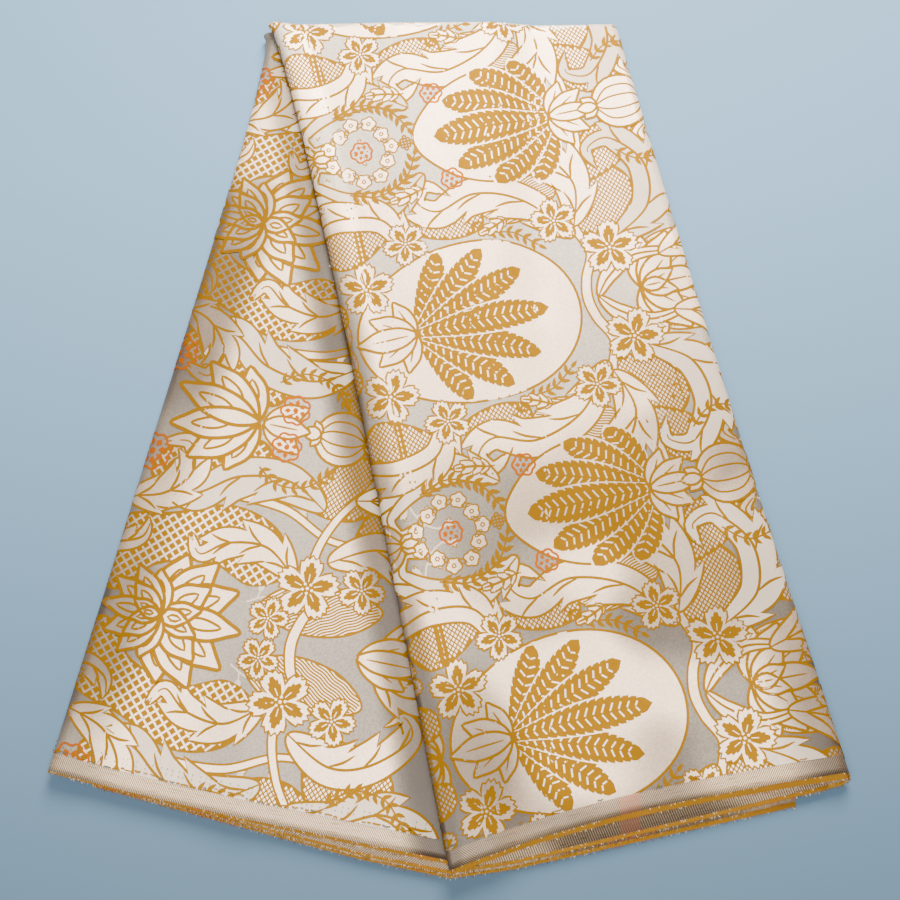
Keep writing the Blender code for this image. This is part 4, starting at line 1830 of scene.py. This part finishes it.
def loose_thread_piece(cloth, name, kind, material):
    """The loose threads of one colour, as one piece."""
    drawn = bpy.data.objects.new("drawn threads", loose_threads(cloth, kind))
    bpy.context.scene.collection.objects.link(drawn)
    depsgraph = bpy.context.evaluated_depsgraph_get()
    mesh = bpy.data.meshes.new_from_object(drawn.evaluated_get(depsgraph))
    bpy.data.curves.remove(drawn.data)
    mesh.name = name
    smooth_piece(name, mesh, material)


def loose_thread_material(name, colour):
    """Glossy loose threads, a little uneven in tone."""
    shader = Shader(name, colour, 0.45, Metallic=0.2)
    clouds = shader.noise(shader.object_place(), 900.0, 2.0)
    shader.feed("Base Color", shader.mixed(clouds, rgba(colour, 0.7), rgba(colour, 1.25)))
    return shader.material


class BROCADE_OT_loose_threads(Operator):
    """Frays the selvedges with short loose threads and loops."""

    bl_idname = "brocade.loose_threads"
    bl_label = "Loose threads"

    def execute(self, context):
        cloth, figure = context.scene.brocade_cloth, context.scene.brocade_figure
        for name, kind, colour in (
            ("cream_loops", "cream", figure.cream),
            ("gold_loops", "gold", figure.gold),
            ("copper_threads", "copper", figure.copper),
        ):
            loose_thread_piece(cloth, name, kind, loose_thread_material(name.replace("_", " "), colour))
        return {"FINISHED"}


def floor_material(stage):
    """The plain floor, with painted shade that darkens it towards the viewer."""
    shader = Shader("plain floor", stage.floor_colour, 0.75)
    place = shader.object_place()
    # Painted shade: the floor darkens towards the viewer, away from the key light.
    up = shader.node("ShaderNodeSeparateXYZ", None, {0: place}, 1).ramp(-0.52, 0.30)
    tone = (shader.noise(place, 3.0) * 0.05 + up).clamped()
    low, high = rgba(stage.floor_colour, 0.38), rgba(stage.floor_colour, 1.0)
    shader.feed("Base Color", shader.mixed(tone, low, high))
    return shader.material


Lamp = namedtuple("Lamp", "name place aim size colour")
KEY = Lamp("key", Vector((0.18, 1.15, 1.10)), Vector((0.0, 0.1, 0.0)), 0.9, (1.0, 0.89, 0.765))
FILL = Lamp("fill", Vector((-0.2, -0.5, 1.6)), Vector((0.0, -0.05, 0.0)), 1.4, (1.0, 0.95, 0.88))
ROOM_COLOUR = (1.0, 0.93, 0.84)


def soft_light(lamp, power):
    """A wide round light that shines on the cloth."""
    data = bpy.data.lights.new(lamp.name, "AREA")
    data.shape = "DISK"
    data.size = lamp.size
    data.energy = power
    data.color = lamp.colour
    light = bpy.data.objects.new(lamp.name, data)
    light.location = lamp.place
    light.rotation_euler = (lamp.aim - lamp.place).to_track_quat("-Z", "Y").to_euler()
    bpy.context.scene.collection.objects.link(light)


def stage_camera(stage):
    """The camera, which leans from straight above towards the viewer's side."""
    data = bpy.data.cameras.new("view from above")
    data.angle = stage.camera_view
    camera = bpy.data.objects.new("view from above", data)
    back = Vector((0, -math.sin(stage.camera_tilt), math.cos(stage.camera_tilt)))
    camera.location = BASE_SHIFT + back * stage.camera_distance
    camera.rotation_euler = (stage.camera_tilt, 0, 0)
    bpy.context.scene.collection.objects.link(camera)
    bpy.context.scene.camera = camera


class BROCADE_OT_stage(Operator):
    """Sets the plain floor, the soft lights and the camera at the photograph's angle."""

    bl_idname = "brocade.stage"
    bl_label = "Floor, lights and camera"

    def execute(self, context):
        stage = context.scene.brocade_stage
        bpy.ops.mesh.primitive_plane_add(size=stage.floor_size)
        floor = context.active_object
        floor.name = "floor"
        floor.data.materials.append(floor_material(stage))
        floor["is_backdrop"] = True
        soft_light(KEY, stage.key_power)
        soft_light(FILL, stage.fill_power)
        world = bpy.data.worlds.new("soft room")
        world.use_nodes = True
        background = world.node_tree.nodes["Background"]
        background.inputs["Color"].default_value = rgba(ROOM_COLOUR)
        background.inputs["Strength"].default_value = stage.room_light
        context.scene.world = world
        stage_camera(stage)
        return {"FINISHED"}


class BROCADE_PT_sidebar(Panel):
    """Lists the pieces of the brocade and their settings."""

    bl_label = "Folded brocade"
    bl_idname = "BROCADE_PT_sidebar"
    bl_space_type = "VIEW_3D"
    bl_region_type = "UI"
    bl_category = "Brocade"

    def draw(self, context):
        for operator in OPERATORS:
            self.layout.operator(operator.bl_idname)
        for group in (getattr(context.scene, name) for name in GROUPS):
            box = self.layout.box()
            for name in group.bl_rna.properties.keys():
                if name not in ("rna_type", "name"):
                    box.prop(group, name)


GROUPS = {
    "brocade_cloth": BrocadeClothSettings,
    "brocade_figure": BrocadeFigureSettings,
    "brocade_stage": BrocadeStageSettings,
}
OPERATORS = (BROCADE_OT_cloth, BROCADE_OT_figure, BROCADE_OT_loose_threads, BROCADE_OT_stage)


def register():
    for item in (*GROUPS.values(), *OPERATORS, BROCADE_PT_sidebar):
        bpy.utils.register_class(item)
    for name, group in GROUPS.items():
        setattr(bpy.types.Scene, name, PointerProperty(type=group))


def unregister():
    for name in GROUPS:
        delattr(bpy.types.Scene, name)
    for item in reversed((*GROUPS.values(), *OPERATORS, BROCADE_PT_sidebar)):
        bpy.utils.unregister_class(item)


def main():
    register()
    bpy.ops.brocade.stage()
    bpy.ops.brocade.cloth()
    bpy.ops.brocade.figure()
    bpy.ops.brocade.loose_threads()
    bpy.context.view_layer.update()
    [[list(corner) for corner in box] for box in (CAD_BOX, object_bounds())]


if __name__ == "__main__":
    main()
